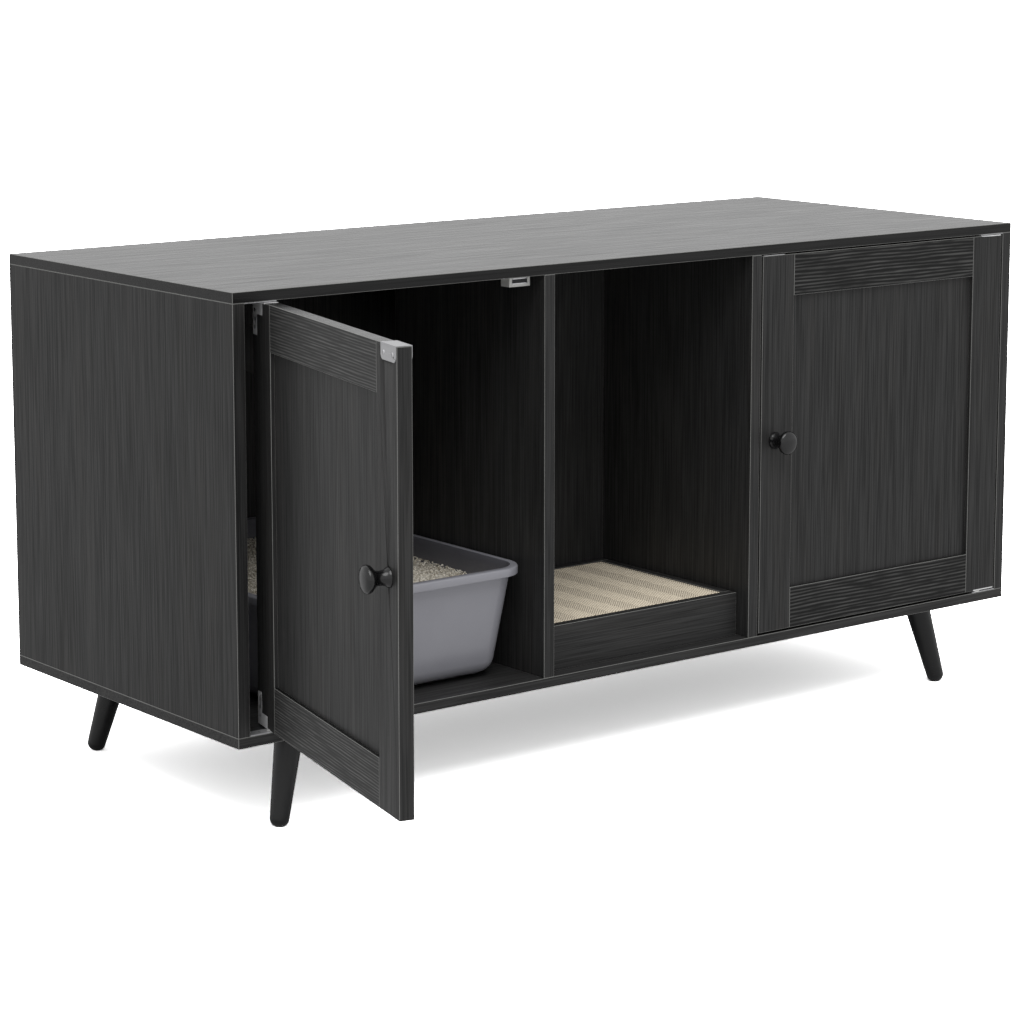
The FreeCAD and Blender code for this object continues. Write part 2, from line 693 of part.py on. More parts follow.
def hang(label, door, piece):
    """Puts a door's piece on its pivot, turned as the door stands."""
    facts = DOORS[door]
    if facts["run"] < 0:
        mirrored = doc.addObject("Part::Mirroring", label + "_mirrored")
        mirrored.Source = piece
        mirrored.Normal = V(1, 0, 0)
        piece = mirrored
    hung = gather(label, [piece])
    bind(hung, Placement__Rotation__Angle=facts["open"])
    locate(hung, facts["pivot"], "pivot_line", "door_bottom")
    return node(label, hung)


def grooved_stile(name, edge, inner, tools):
    """An upright frame member: edge is its outer edge, inner its grooved edge."""
    inward = "-" if inner.startswith("hinge_edge") else "+"
    slot = f"{inner} {inward} tongue"
    body = new_body(name + "_stick")
    pad(body, name + "_pad",
        [(edge, "outer_face"), (inner, "outer_face"), (inner, "panel_outer"), (slot, "panel_outer"),
         (slot, "panel_outer + panel_thickness"), (inner, "panel_outer + panel_thickness"),
         (inner, "inner_face"), (edge, "inner_face")], "door_height")
    return cut(name, body, tools) if tools else body


def grooved_rail(name, width, low, at_top):
    """A level frame member with its groove towards the door's middle and a tongue at each end."""
    body = new_body(name)
    length = f"{width} - 2 * stile_width"
    start = "stile_width - pivot_inset"
    far, near = (f"{low} + rail_width", low) if at_top else (low, f"{low} + rail_width")
    slot = f"{near} + tongue" if at_top else f"{near} - tongue"
    pad(body, name + "_pad",
        [("outer_face", far), ("outer_face", near), ("panel_outer", near), ("panel_outer", slot),
         ("panel_outer + panel_thickness", slot), ("panel_outer + panel_thickness", near),
         ("inner_face", near), ("inner_face", far)], length, "YZ_Plane", start)
    pad(body, name + "_tongues",
        [("panel_outer", slot), ("panel_outer + panel_thickness", slot),
         ("panel_outer + panel_thickness", far), ("panel_outer", far)],
        f"{length} + 2 * (tongue - tongue_play)", "YZ_Plane", f"{start} - tongue + tongue_play")
    return body


def door_panel(name, width):
    """The thin panel held in the grooves of the frame."""
    reach = "tongue - tongue_play"
    return box(name, (f"stile_width - pivot_inset - ({reach})", "panel_outer", f"rail_width - ({reach})"),
               (f"{width} - 2 * stile_width + 2 * ({reach})", "panel_thickness",
                f"door_height - 2 * rail_width + 2 * ({reach})"))


def hinge_plate(name, end, on_inner_face):
    """A steel plate let into the door's end over the pivot, with an upright leg and a flag on one face."""
    flat_low = "door_height - hinge_plate_thickness" if end == "upper" else "0"
    leg_low = "door_height - hinge_leg_length" if end == "upper" else "0"
    flag_low = "door_height - hinge_flag_length" if end == "upper" else "0"
    face = "inner_face - hinge_plate_thickness" if on_inner_face else "outer_face"
    flat = box(name + "_flat", ("hinge_edge", "outer_face", flat_low),
               ("pivot_inset + hinge_plate_reach", "door_thickness", "hinge_plate_thickness"))
    leg = box(name + "_leg", ("hinge_edge", face, leg_low),
              ("hinge_leg_width", "hinge_plate_thickness", "hinge_leg_length"))
    flag = box(name + "_flag", ("hinge_edge", face, flag_low),
               ("hinge_leg_width + hinge_flag_width", "hinge_plate_thickness", "hinge_flag_length"))
    return fuse(name + "_blank", [flat, leg, flag])


def pin_hole(name, end):
    """The hole that the pivot pin turns in."""
    start, heading = (("door_height", "-z") if end == "upper" else ("0", "+z"))
    return rod(name, ("0", "0", start), "pin_radius + pin_play", "pin_length", heading)


def hinge_screws(name, end, on_inner_face):
    """Three screws in a row through the upright leg of a hinge plate."""
    screws = []
    face, heading = ("inner_face", "-y") if on_inner_face else ("outer_face", "+y")
    for step in (1, 2, 3):
        drop = f"{step} * hinge_leg_length / 4 + hinge_screw_radius"
        height = f"door_height - ({drop})" if end == "upper" else drop
        place = ("hinge_edge + hinge_leg_width / 2", face, height)
        screws.append(rod(f"{name}_{step}", place, "hinge_screw_radius", "hinge_screw_length", heading))
    return screws


def strike_plate(name, middle, folded_over):
    """A bent steel plate over the door's top edge that meets the magnet; its outer leg is optional."""
    body = new_body(name + "_bent")
    top = "door_height"
    over = "door_height + strike_thickness"
    back = "inner_face + strike_thickness"
    front = "outer_face - strike_thickness"
    inner_end = "door_height - strike_inner_leg"
    outer_end = "door_height - strike_outer_leg"
    if folded_over:
        corners = [(front, outer_end), ("outer_face", outer_end), ("outer_face", top), ("inner_face", top),
                   ("inner_face", inner_end), (back, inner_end), (back, over), (front, over)]
    else:
        corners = [("outer_face", top), ("inner_face", top), ("inner_face", inner_end),
                   (back, inner_end), (back, over), ("outer_face", over)]
    pad(body, name + "_pad", corners, "strike_width", "YZ_Plane", f"{middle} - strike_width / 2")
    return body


def strike_screws(name, middle, folded_over):
    """Two screws that hold the strike plate to the lock stile."""
    screws = []
    face = "outer_face - strike_thickness" if folded_over else "inner_face + strike_thickness"
    heading = "+y" if folded_over else "-y"
    rise = "strike_thickness" if folded_over else "catch_gap / 2"
    for side in (-1, 1):
        place = (f"{middle} + {side} * strike_screw_spread", face, "door_height - strike_screw_drop")
        screws.append(screw(f"{name}_{side + 1}", place, "strike_screw_head", rise,
                            "hinge_screw_radius", "hinge_screw_length", heading))
    return screws


def knob(name, middle):
    """A turned mushroom knob on the outer face, bored for its screw."""
    body = new_body(name + "_turning")
    sketch = sketch_on(body, name + "_section")
    outline(sketch, [("knob_screw_radius", "0"), ("knob_base_radius", "0"),
                     ("knob_neck_radius", "-knob_projection * 0.42"),
                     ("knob_head_radius", "-(knob_projection - knob_dome - knob_rim)"),
                     ("knob_head_radius", "-(knob_projection - knob_dome)"),
                     ("knob_head_radius * 0.6", "-(knob_projection - knob_dome * 0.25)"),
                     ("0", "-knob_projection"), ("0", "-knob_screw_bite"),
                     ("knob_screw_radius", "-knob_screw_bite")])
    turning = body.newObject("PartDesign::Revolution", name + "_turned")
    turning.Profile = sketch
    turning.ReferenceAxis = (sketch, ["V_Axis"])
    turning.Angle = 360
    locate(body, middle, "outer_face", "knob_rise")
    return body


def make_door(door, hardware_inside):
    """One framed door with its knob, strike plate and hinge plates."""
    width = DOORS[door]["width"]
    free_edge = f"{width} - pivot_inset"
    strike_middle = f"{width} + door_side_gap - catch_inset - pivot_inset"
    knob_middle = f"{free_edge} - knob_inset"
    plates, screws, hinge_tools = {}, [], []
    for end in ("upper", "lower"):
        name = f"{door}_{end}_hinge_plate"
        blank = hinge_plate(name, end, hardware_inside)
        hole = pin_hole(name + "_pin_hole", end)
        fixings = hinge_screws(name + "_screw", end, hardware_inside)
        plates[name] = cut(name + "_part", blank, [hole] + fixings)
        screws += fixings
        hinge_tools += [blank, hole] + fixings
    strike_fixings = strike_screws(door + "_strike_screw", strike_middle, not hardware_inside)
    knob_screw = screw(door + "_knob_screw", (knob_middle, "inner_face", "knob_rise"), "knob_screw_head",
                       "knob_screw_rise", "knob_screw_radius", "door_thickness + knob_screw_bite", "-y")
    screws += strike_fixings + [knob_screw]
    pieces = {
        f"{door}_hinge_stile": grooved_stile(door + "_hinge_stile_part", "hinge_edge",
                                             "hinge_edge + stile_width", hinge_tools),
        f"{door}_lock_stile": grooved_stile(door + "_lock_stile_part", free_edge,
                                            f"{free_edge} - stile_width", strike_fixings + [knob_screw]),
        f"{door}_bottom_rail": grooved_rail(door + "_bottom_rail_part", width, "0", False),
        f"{door}_top_rail": grooved_rail(door + "_top_rail_part", width, "door_height - rail_width", True),
        f"{door}_panel": door_panel(door + "_panel_part", width),
        f"{door}_knob": knob(door + "_knob_part", knob_middle),
        f"{door}_strike_plate": cut(door + "_strike_part",
                                    strike_plate(door + "_strike", strike_middle, not hardware_inside),
                                    strike_fixings),
        f"{door}_screws": gather(door + "_screws_part", screws),
        **plates,
    }
    for label, piece in pieces.items():
        hang(label, door, piece)


# ---------------------------------------------------------------- litter pan


def rounded_outline(width, depth, radius, height):
    """A closed outline of a rectangle with round corners, about the z axis."""
    arcs = []
    for turn, (right, back) in enumerate(((1, -1), (1, 1), (-1, 1), (-1, -1))):
        centre = V(right * (width / 2 - radius), back * (depth / 2 - radius), height)
        circle = Part.Circle(centre, V(0, 0, 1), radius)
        start = math.radians(90 * turn - 90)
        arcs.append(Part.ArcOfCircle(circle, start, start + math.pi / 2).toShape())
    edges = []
    for i, arc in enumerate(arcs):
        following = arcs[(i + 1) % len(arcs)]
        edges.append(arc)
        edges.append(Part.makeLine(arc.Vertexes[-1].Point, following.Vertexes[0].Point))
    return Part.Wire(edges)


def pan_length():
    """The pan reaches from the front plane to the back panel, less its two clearances."""
    bay_depth = size("body_depth") - size("back_inset") - size("back_board")
    return bay_depth - size("pan_setback") - size("pan_rear_clearance")


def tapered_tub(inset, low, high, bottom_round):
    """A tub that widens upwards, set in from the pan's outer walls, with a round bottom edge."""
    top_width = size("pan_width") - 2 * size("pan_rim_overhang")
    top_length = pan_length() - 2 * size("pan_rim_overhang")
    corner = size("pan_corner") - size("pan_rim_overhang")
    full_height = size("pan_height") - size("pan_foot_height")
    rings = []
    for height in (low, high):
        lean = size("pan_taper") * (1 - height / full_height) + inset
        rings.append(rounded_outline(top_width - 2 * lean, top_length - 2 * lean,
                                     corner - lean * 0.5, height))
    tub = Part.makeLoft(rings, True, True)
    bottom = [edge for edge in tub.Edges
              if all(abs(point.Point.z - low) < 0.01 for point in edge.Vertexes)]
    return tub.makeFillet(bottom_round, bottom)


def litter_pan():
    """The moulded pan: a tapered tub with a turned rim and four small feet."""
    wall = size("pan_wall")
    height = size("pan_height") - size("pan_foot_height")
    tub = tapered_tub(0, 0, height, size("pan_bottom_round"))
    rim_face = Part.Face(rounded_outline(size("pan_width"), pan_length(), size("pan_corner"),
                                         height - size("pan_rim_height")))
    rim = rim_face.extrude(V(0, 0, size("pan_rim_height")))
    hollow = tapered_tub(wall, wall, height + wall, size("pan_bottom_round") - wall)
    shell = tub.fuse(rim).cut(hollow)
    for right in (-1, 1):
        for back in (-1, 1):
            place = V(right * size("pan_width") * size("pan_foot_spread"),
                      back * pan_length() * size("pan_foot_spread"), -size("pan_foot_height"))
            shell = shell.fuse(Part.makeCylinder(size("pan_foot_radius"),
                                                 size("pan_foot_height") + wall / 2, place))
    return shell.removeSplitter()


def litter_heap():
    """The litter: it fills the tub up to its edge and is heaped towards the middle."""
    wall = size("pan_wall") + size("litter_clearance")
    edge = size("litter_edge")
    crown = size("litter_crown")
    filling = tapered_tub(wall, wall, edge + crown + wall, size("pan_bottom_round") - size("pan_wall"))
    half = (size("pan_width") - 2 * size("pan_rim_overhang")) / 2
    radius = (half ** 2 + crown ** 2) / (2 * crown)
    stretch = pan_length() / size("pan_width")
    dome = Part.makeSphere(radius, V(0, 0, 0)).common(
        Part.makeBox(4 * half, 4 * half, 2 * crown, V(-2 * half, -2 * half, radius - crown)))
    dome.translate(V(0, 0, edge + crown - radius))
    widen = FreeCAD.Matrix()
    widen.scale(1.25, 1.25 * stretch, 1)
    dome = dome.transformGeometry(widen)
    slab = Part.makeBox(4 * half, 4 * half, edge, V(-2 * half, -2 * half, 0))
    return filling.common(slab.fuse(dome)).removeSplitter()


def make_pan():
    """Places the pan and its litter, standing on their feet in the left bay."""
    for label, shape in (("litter_pan", litter_pan()), ("litter_fill", litter_heap())):
        piece = doc.addObject("Part::Feature", label)
        piece.Shape = shape
        locate(piece, "left_inner + pan_left_clearance + pan_width / 2",
               "front + pan_setback + pan_length / 2", "bay_floor + slide_play + pan_foot_height")
        node(label, piece)


# ---------------------------------------------------------------- scratching tray


def tray_side(name, left, ledge_right):
    """A side board of the tray, with the ledge that carries the scratching mat."""
    body = new_body(name)
    right = f"{left} + tray_board"
    if ledge_right:
        corners = [(left, "0"), (f"{right} + tray_ledge", "0"), (f"{right} + tray_ledge", "ledge_top"),
                   (right, "ledge_top"), (right, "tray_height"), (left, "tray_height")]
    else:
        corners = [(f"{left} - tray_ledge", "0"), (right, "0"), (right, "tray_height"), (left, "tray_height"),
                   (left, "ledge_top"), (f"{left} - tray_ledge", "ledge_top")]
    length = "tray_depth - 2 * tray_board"
    pad(body, name + "_pad", corners, length, "XZ_Plane", f"-(tray_front_edge + tray_board) - ({length})")
    bind(body, Placement__Base__z="tray_floor")
    return body


def make_tray():
    """The shallow tray in the middle bay and the mat that lifts out of it."""
    right_board = "tray_left_edge + tray_width - tray_board"
    for label, line in (("tray_front_board", "tray_front_edge"),
                        ("tray_back_board", "tray_front_edge + tray_depth - tray_board")):
        node(label, box(label, ("tray_left_edge", line, "tray_floor"),
                        ("tray_width", "tray_board", "tray_height")))
    node("tray_left_board", tray_side("tray_left_board", "tray_left_edge", True))
    node("tray_right_board", tray_side("tray_right_board", right_board, False))
    inner_left = "tray_left_edge + tray_board"
    inner_front = "tray_front_edge + tray_board"
    node("tray_base", box("tray_base", (f"{inner_left} + tray_ledge", inner_front, "tray_floor"),
                          ("tray_width - 2 * tray_board - 2 * tray_ledge", "tray_depth - 2 * tray_board",
                           "tray_base_board")))
    mat_size = ("tray_width - 2 * tray_board - 2 * mat_play", "tray_depth - 2 * tray_board - 2 * mat_play")
    mat_corner = (f"{inner_left} + mat_play", f"{inner_front} + mat_play")
    board_level = "tray_floor + ledge_top + slide_play"
    node("mat_board", box("mat_board", (*mat_corner, board_level), (*mat_size, "mat_board_thickness")))
    node("scratch_mat", box("scratch_mat", (*mat_corner, f"{board_level} + mat_board_thickness"),
                            (*mat_size, "mat_thickness")))


# ---------------------------------------------------------------- carcass


def make_carcass():
    """The boards, with every hole and groove that their fasteners and neighbours need."""
    groups, holes = carcass_joints()
    holes["centre_back_panel"] = [doorway_cutter()]
    holes["back_panel"] = []
    groups["dowels"] += centre_back_dowels(holes)
    make_legs(holes)
    make_pivots(holes)
    make_catches(holes)
    node("back_panel_nails", gather("back_panel_nails", nails(holes)))
    groove = back_groove()
    for panel in ("left_side_panel", "right_side_panel", "bottom_panel", "top_panel"):
        holes[panel].append(groove)
    end_size = ("cabinet_width", "body_depth", "end_board")
    blanks = {
        "bottom_panel": box("bottom_panel_blank", ("carcass_left", "front", "leg_height"), end_size),
        "top_panel": box("top_panel_blank", ("carcass_left", "front", "bay_ceiling"), end_size),
        "centre_back_panel": box("centre_back_blank", ("middle_left", "centre_back_front", "bay_floor"),
                                 ("middle_bay", "centre_back_board", "bay_height")),
        "back_panel": back_panel_blank(),
    }
    for board, (left, thickness, depth, _) in UPRIGHTS.items():
        blanks[board] = box(board + "_blank", (left, "front", "bay_floor"), (thickness, depth, "bay_height"))
    for board, blank in blanks.items():
        node(board, cut(board, blank, holes[board]))
    for label, pieces in groups.items():
        node(label, gather(label, pieces))


def check_and_write():
    """Stops on any failed object or bad shape, then writes one STEP file for each sub-part."""
    doc.recompute()
    for thing in doc.Objects:
        if "Invalid" in thing.State or "Error" in thing.State:
            raise RuntimeError(f"{thing.Label} did not compute: {thing.State}")
    os.makedirs("parts", exist_ok=True)
    for piece in NODES:
        if piece.Shape.isNull() or not piece.Shape.isValid() or not piece.Shape.Solids:
            raise RuntimeError(f"{piece.Label} has no valid solid")
    for piece in NODES:
        piece.Shape.exportStep(f"parts/{piece.Label}.step")
        print(f"{piece.Label}: {len(piece.Shape.Solids)} solid(s), {piece.Shape.Volume / 1000:.1f} cm3")
    print(len(NODES), "sub-parts")


fill_sheet()
make_carcass()
make_door("left_door", hardware_inside=False)
make_door("right_door", hardware_inside=True)
make_pan()
make_tray()
check_and_write()
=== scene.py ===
# %% [markdown]
# # A litter box cabinet on splayed legs
# The cabinet is a low sideboard of black wood-grain board. A framed door stands open on the left,
# over a moulded pan, a woven scratching mat lies in the open bay, and a second framed door closes
# the right bay. The construction model is loaded first and is never moved: every visible piece is
# made around it.

# %% load the construction model
import bmesh
import bpy
import json
import math
import random
from mathutils import Matrix, Vector, noise


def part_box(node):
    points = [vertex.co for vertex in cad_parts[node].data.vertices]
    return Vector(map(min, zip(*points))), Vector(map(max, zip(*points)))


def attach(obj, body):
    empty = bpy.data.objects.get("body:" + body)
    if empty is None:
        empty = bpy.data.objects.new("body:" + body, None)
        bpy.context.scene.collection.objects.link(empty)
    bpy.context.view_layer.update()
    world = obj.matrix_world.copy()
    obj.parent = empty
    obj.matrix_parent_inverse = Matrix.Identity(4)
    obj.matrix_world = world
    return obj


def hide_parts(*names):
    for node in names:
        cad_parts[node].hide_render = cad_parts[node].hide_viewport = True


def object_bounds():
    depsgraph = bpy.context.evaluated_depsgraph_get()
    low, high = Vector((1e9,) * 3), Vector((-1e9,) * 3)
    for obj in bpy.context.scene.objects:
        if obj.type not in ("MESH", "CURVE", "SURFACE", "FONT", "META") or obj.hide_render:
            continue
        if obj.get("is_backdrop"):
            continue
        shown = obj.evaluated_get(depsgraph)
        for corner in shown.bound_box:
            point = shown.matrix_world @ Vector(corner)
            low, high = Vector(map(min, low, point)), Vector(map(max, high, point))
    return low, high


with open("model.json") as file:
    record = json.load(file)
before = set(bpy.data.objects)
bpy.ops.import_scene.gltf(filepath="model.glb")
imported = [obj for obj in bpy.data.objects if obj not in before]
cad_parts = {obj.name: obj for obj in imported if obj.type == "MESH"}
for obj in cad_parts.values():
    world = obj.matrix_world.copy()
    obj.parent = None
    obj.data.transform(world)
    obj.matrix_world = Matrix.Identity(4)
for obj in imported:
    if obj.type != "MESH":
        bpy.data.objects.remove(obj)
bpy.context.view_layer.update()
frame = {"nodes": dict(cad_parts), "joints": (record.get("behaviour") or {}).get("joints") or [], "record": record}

MM = 0.001

# %% [markdown]
# ## Camera
# The camera comes first, so that every later piece can be judged from the photograph's own place.
# A long lens stands about four metres away, a little above the top panel. It looks down by less
# than nine degrees, and a small downward shift lets it do so with almost upright verticals.

# %% camera
IMAGE_WIDTH = 1024
LENS_IN_PIXELS = 2989
CAMERA_PLACE = (-2.303, -2.872, 0.990)
CAMERA_TURN = math.radians(-38.29)
CAMERA_PITCH = math.radians(8.86)
DOWNWARD_SHIFT = -0.12

lens = bpy.data.cameras.new("long_lens")
lens.sensor_width = 36
lens.lens = LENS_IN_PIXELS * lens.sensor_width / IMAGE_WIDTH
lens.shift_y = DOWNWARD_SHIFT
camera = bpy.data.objects.new("three_quarter_view", lens)
camera.location = CAMERA_PLACE
camera.rotation_euler = (math.radians(90) - CAMERA_PITCH, 0, CAMERA_TURN)
bpy.context.scene.collection.objects.link(camera)
bpy.context.scene.camera = camera
print("lens", round(lens.lens, 1), "mm")

# %% [markdown]
# ## Helpers for materials
# Colours are written as the hex values that a screen shows, and one function turns them into the
# linear numbers that light works with. One more function adds any shader node: its sockets are
# given by name or in order, and a socket is set to a value, fed from an output, or fed from a
# node's first live output. Every material ends in one Principled shader, on whose own sockets
# stand the values that are the same all over.

# %% colour and node helpers


def linear(hex_colour):
    """A hex colour such as "8a6b42" as linear red, green, blue and alpha."""
    shares = [int(hex_colour[i:i + 2], 16) / 255 for i in (0, 2, 4)]
    return [s / 12.92 if s <= 0.04045 else ((s + 0.055) / 1.055) ** 2.4 for s in shares] + [1]


def add(tree, kind, sockets=(), **settings):
    """Adds a shader node with its settings, and sets or feeds its sockets."""
    node = tree.nodes.new("ShaderNode" + kind)
    for name, value in settings.items():
        setattr(node, name, value)
    for name, value in sockets.items() if isinstance(sockets, dict) else enumerate(sockets):
        if isinstance(value, bpy.types.Node):
            value = next(output for output in value.outputs if output.enabled)
        if isinstance(value, bpy.types.NodeSocket):
            tree.links.new(value, node.inputs[name])
        else:
            node.inputs[name].default_value = value
    return node


def new_material(name):
    """A material with an empty node tree."""
    material = bpy.data.materials.new(name)
    material.use_nodes = True
    material.node_tree.nodes.clear()
    return material, material.node_tree


def shade(tree, **sockets):
    """Ends a material with its Principled shader; an underscore in a socket's name is a space."""
    named = {name.replace("_", " "): value for name, value in sockets.items()}
    add(tree, "OutputMaterial", {"Surface": add(tree, "BsdfPrincipled", named)})


print("a screen's middle grey is", round(linear("808080")[0], 3), "in linear light")

# %% [markdown]
# ## Black wood-grain board
# The boards are chipboard faced with melamine: paper printed black, pressed in a plate that
# embosses fine grain. The eye sees a dark, slightly warm grey with long thin streaks, a satin
# sheen that is strongest at a low angle, and ridges that catch light across the grain. The streaks
# are noise stretched along one direction. A Mapping node of the Texture kind divides by real
# sizes, so a streak is written as its width and its length. The real pores are about 0.3 mm wide,
# too fine to show, so they are drawn about 2 mm wide. Broad clouds of the same noise, many streaks
# wide, vary the print a little. The top panel is pressed smoother than the rest, so that it wipes
# clean, and it mirrors the room more.

# %% wood-grain materials
GRAIN_UP = (0, 0, 0)
GRAIN_ACROSS = (0, math.radians(90), 0)
GRAIN_BACKWARDS = (math.radians(90), 0, 0)
STREAK_NOISE = {"Scale": 1, "Detail": 2, "Roughness": 0.6, "Distortion": 0.2}
CLOUD_IN_WIDTHS = 14
CLOUD_IN_LENGTHS = 2
CLOUD_SHARE = 0.15
PRINT_SPAN = 0.16
WARM_TINT = "ffe9d2"
MOST_WARMTH = 0.1
PLASTIC_IOR = 1.5


def wood_grain(name, direction, width, length, dark, light, relief, roughness, mirror):
    """Printed and embossed grain along one direction, with streaks of a real size."""
    material, tree = new_material(name)
    place = add(tree, "TexCoord").outputs["Object"]
    cloud_width, cloud_length = CLOUD_IN_WIDTHS * width, CLOUD_IN_LENGTHS * length
    sizes = ((width, width, length), (cloud_width, cloud_width, cloud_length))
    fine, broad = (add(tree, "Mapping", {"Vector": place, "Rotation": direction, "Scale": size},
                       vector_type="TEXTURE") for size in sizes)
    streaks = add(tree, "TexNoise", {"Vector": fine, **STREAK_NOISE})
    clouds = add(tree, "TexNoise", {"Vector": broad, "Scale": 1, "Detail": 1})
    both = add(tree, "Math", (clouds, CLOUD_SHARE, streaks), operation="MULTIPLY_ADD")
    middle = 0.5 + 0.5 * CLOUD_SHARE
    share = add(tree, "MapRange", (both, middle - PRINT_SPAN, middle + PRINT_SPAN))
    printed = add(tree, "Mix", {"Factor": share, "A": linear(dark), "B": linear(light)},
                  data_type="RGBA")
    warmth = add(tree, "MapRange", (clouds, 0.45, 0.7, 0, MOST_WARMTH))
    warm = add(tree, "Mix", {"Factor": warmth, "A": printed, "B": linear(WARM_TINT)},
               data_type="RGBA", blend_type="MULTIPLY")
    gloss = add(tree, "MapRange", (streaks, 0.3, 0.7, roughness + 0.08, roughness - 0.04))
    bump = add(tree, "Bump", {"Height": streaks, "Strength": 0.8, "Distance": relief})
    shade(tree, Base_Color=warm, Roughness=gloss, Normal=bump, IOR=PLASTIC_IOR,
          Specular_IOR_Level=mirror)
    return material


GRAIN = {"width": 1.8 * MM, "length": 110 * MM, "relief": 0.1 * MM}
BOARD = {**GRAIN, "dark": "242424", "light": "3a3a3a", "roughness": 0.44, "mirror": 0.15}
TOP = {**GRAIN, "dark": "060606", "light": "1c1c1c", "roughness": 0.26, "mirror": 0.24}
board_up = wood_grain("melamine_grain_upright", GRAIN_UP, **BOARD)
board_across = wood_grain("melamine_grain_level", GRAIN_ACROSS, **BOARD)
board_backwards = wood_grain("melamine_grain_front_to_rear", GRAIN_BACKWARDS, **BOARD)
board_top = wood_grain("melamine_grain_smooth_top", GRAIN_ACROSS, **TOP)
print("board finishes", len(bpy.data.materials))

# %% [markdown]
# ## Ridged foil on the door rails
# The foil on the rails is pressed much deeper than the boards: wavy ridges about five millimetres
# apart, nearly black between them. The open door shows a finer and shallower print, and its copy of
# the foil is painted paler: painted light for the sheen that this door catches. A sine across the
# grain gives ridges of one pitch. Noise that changes slowly along the grain shifts its phase, which
# bends the ridges, and a second noise fades them here and there.

# %% ridged foil
RIDGE_LENGTH = 45 * MM
RIDGE_BEND = 9.0
BEND_SCALE = 0.35
FADE_SCALE = 1.1
LEAST_RIDGE = 0.15
RAIL_GLOSS_SWING = 0.06


def ridged_foil(name, direction, pitch, dark, light, relief):
    """Wavy pressed ridges of one pitch along a direction."""
    material, tree = new_material(name)
    along = add(tree, "Mapping", {"Vector": add(tree, "TexCoord").outputs["Object"],
                                  "Rotation": direction, "Scale": (pitch, pitch, RIDGE_LENGTH)},
                vector_type="TEXTURE")
    axes = add(tree, "SeparateXYZ", {"Vector": along})
    across = add(tree, "Math", (axes.outputs["X"], axes.outputs["Y"]), operation="ADD")
    bend = add(tree, "TexNoise", {"Vector": along, "Scale": BEND_SCALE, "Detail": 2})
    fade = add(tree, "TexNoise", {"Vector": along, "Scale": FADE_SCALE, "Detail": 2})
    turns = add(tree, "Math", (across, 2 * math.pi), operation="MULTIPLY")
    phase = add(tree, "Math", (bend, RIDGE_BEND, turns), operation="MULTIPLY_ADD")
    ridge = add(tree, "MapRange", (add(tree, "Math", (phase,), operation="SINE"), -0.4, 1))
    strength = add(tree, "MapRange", (fade, 0.3, 0.65, LEAST_RIDGE, 1))
    kept = add(tree, "Math", (ridge, strength), operation="MULTIPLY")
    colour = add(tree, "Mix", {"Factor": kept, "A": linear(dark), "B": linear(light)},
                 data_type="RGBA")
    gloss = add(tree, "MapRange", (kept, 0, 1, BOARD["roughness"] + RAIL_GLOSS_SWING,
                                   BOARD["roughness"] - RAIL_GLOSS_SWING))
    bump = add(tree, "Bump", {"Height": kept, "Strength": 0.8, "Distance": relief})
    shade(tree, Base_Color=colour, Roughness=gloss, Normal=bump, IOR=PLASTIC_IOR,
          Specular_IOR_Level=BOARD["mirror"])
    return material


JOINT_OF = {joint["child"]: joint for joint in frame["joints"]}
LEFT_DOOR_OPEN = JOINT_OF["left_door"]["range_deg"][1]
GRAIN_OPEN_DOOR = (0, math.radians(90), -math.radians(LEFT_DOOR_OPEN))
RAIL = {"pitch": 4.6 * MM, "dark": "131313", "light": "4f4f4e", "relief": 0.45 * MM}
# The open door's copy is finer, shallower and painted paler: painted light for the sheen that door catches.
OPEN_RAIL_FINER_PAINTED_LIGHTER = {"pitch": 3.3 * MM, "dark": "2d2d2d", "light": "575756", "relief": 0.22 * MM}
rail_across = ridged_foil("ridged_rail_foil", GRAIN_ACROSS, **RAIL)
rail_open_door_painted_lighter = ridged_foil("ridged_rail_foil_open_door", GRAIN_OPEN_DOOR, **OPEN_RAIL_FINER_PAINTED_LIGHTER)
print("grain runs along the open door at", LEFT_DOOR_OPEN, "degrees")

# %% [markdown]
# ## Painted edge highlights, legs, plastics and metals
# The broken edges are painted a pale grey: a painted highlight for the thin line of light that an
# edge catches. It is the brightest thing on the fronts, so the broken edges get a finish of their
# own. The legs are turned beech under satin black lacquer, the knobs under gloss lacquer. The pan
# is injection-moulded polypropylene, finely etched outside and polished inside, so that litter does
# not stick; its inside is also painted darker, a painted shade for the shadow that fills the tub.
# Screws are nickel-plated steel, a metal that keeps its default index of refraction. Strike plates
# and brackets wear a silver lacquer, half metal flake and half clear paint. The hinge plates are
# painted nearly white and only a fifth metal: painted light, which keeps them pale in the shade
# between the door and the side panel, where bare metal would mirror the black boards. Each finish
# varies at the size of its own grain, and in clouds forty grains wide.

# %% edge, lacquer, plastic and metal materials
CLOUD_IN_GRAINS = 40


def speckled(name, colour, other, grain, roughness, relief, metallic=0.0, swing=0.05, **sockets):
    """A finish whose colour, gloss and relief vary a little at the size of its own grain."""
    material, tree = new_material(name)
    place = add(tree, "TexCoord").outputs["Object"]
    grains, clouds = (add(tree, "TexNoise", {"Vector": place, "Scale": 1 / size, "Detail": 2})
                      for size in (grain, CLOUD_IN_GRAINS * grain))
    both = add(tree, "Math", (grains, clouds), operation="ADD")
    tone = add(tree, "Mix", {"Factor": add(tree, "MapRange", (both, 0.7, 1.3)),
                             "A": linear(colour), "B": linear(other)}, data_type="RGBA")
    gloss = add(tree, "MapRange", (clouds, 0.3, 0.7, roughness - swing, roughness + swing))
    bump = add(tree, "Bump", {"Height": grains, "Strength": 0.6, "Distance": relief})
    shade(tree, Base_Color=tone, Roughness=gloss, Normal=bump, Metallic=metallic, **sockets)
    return material
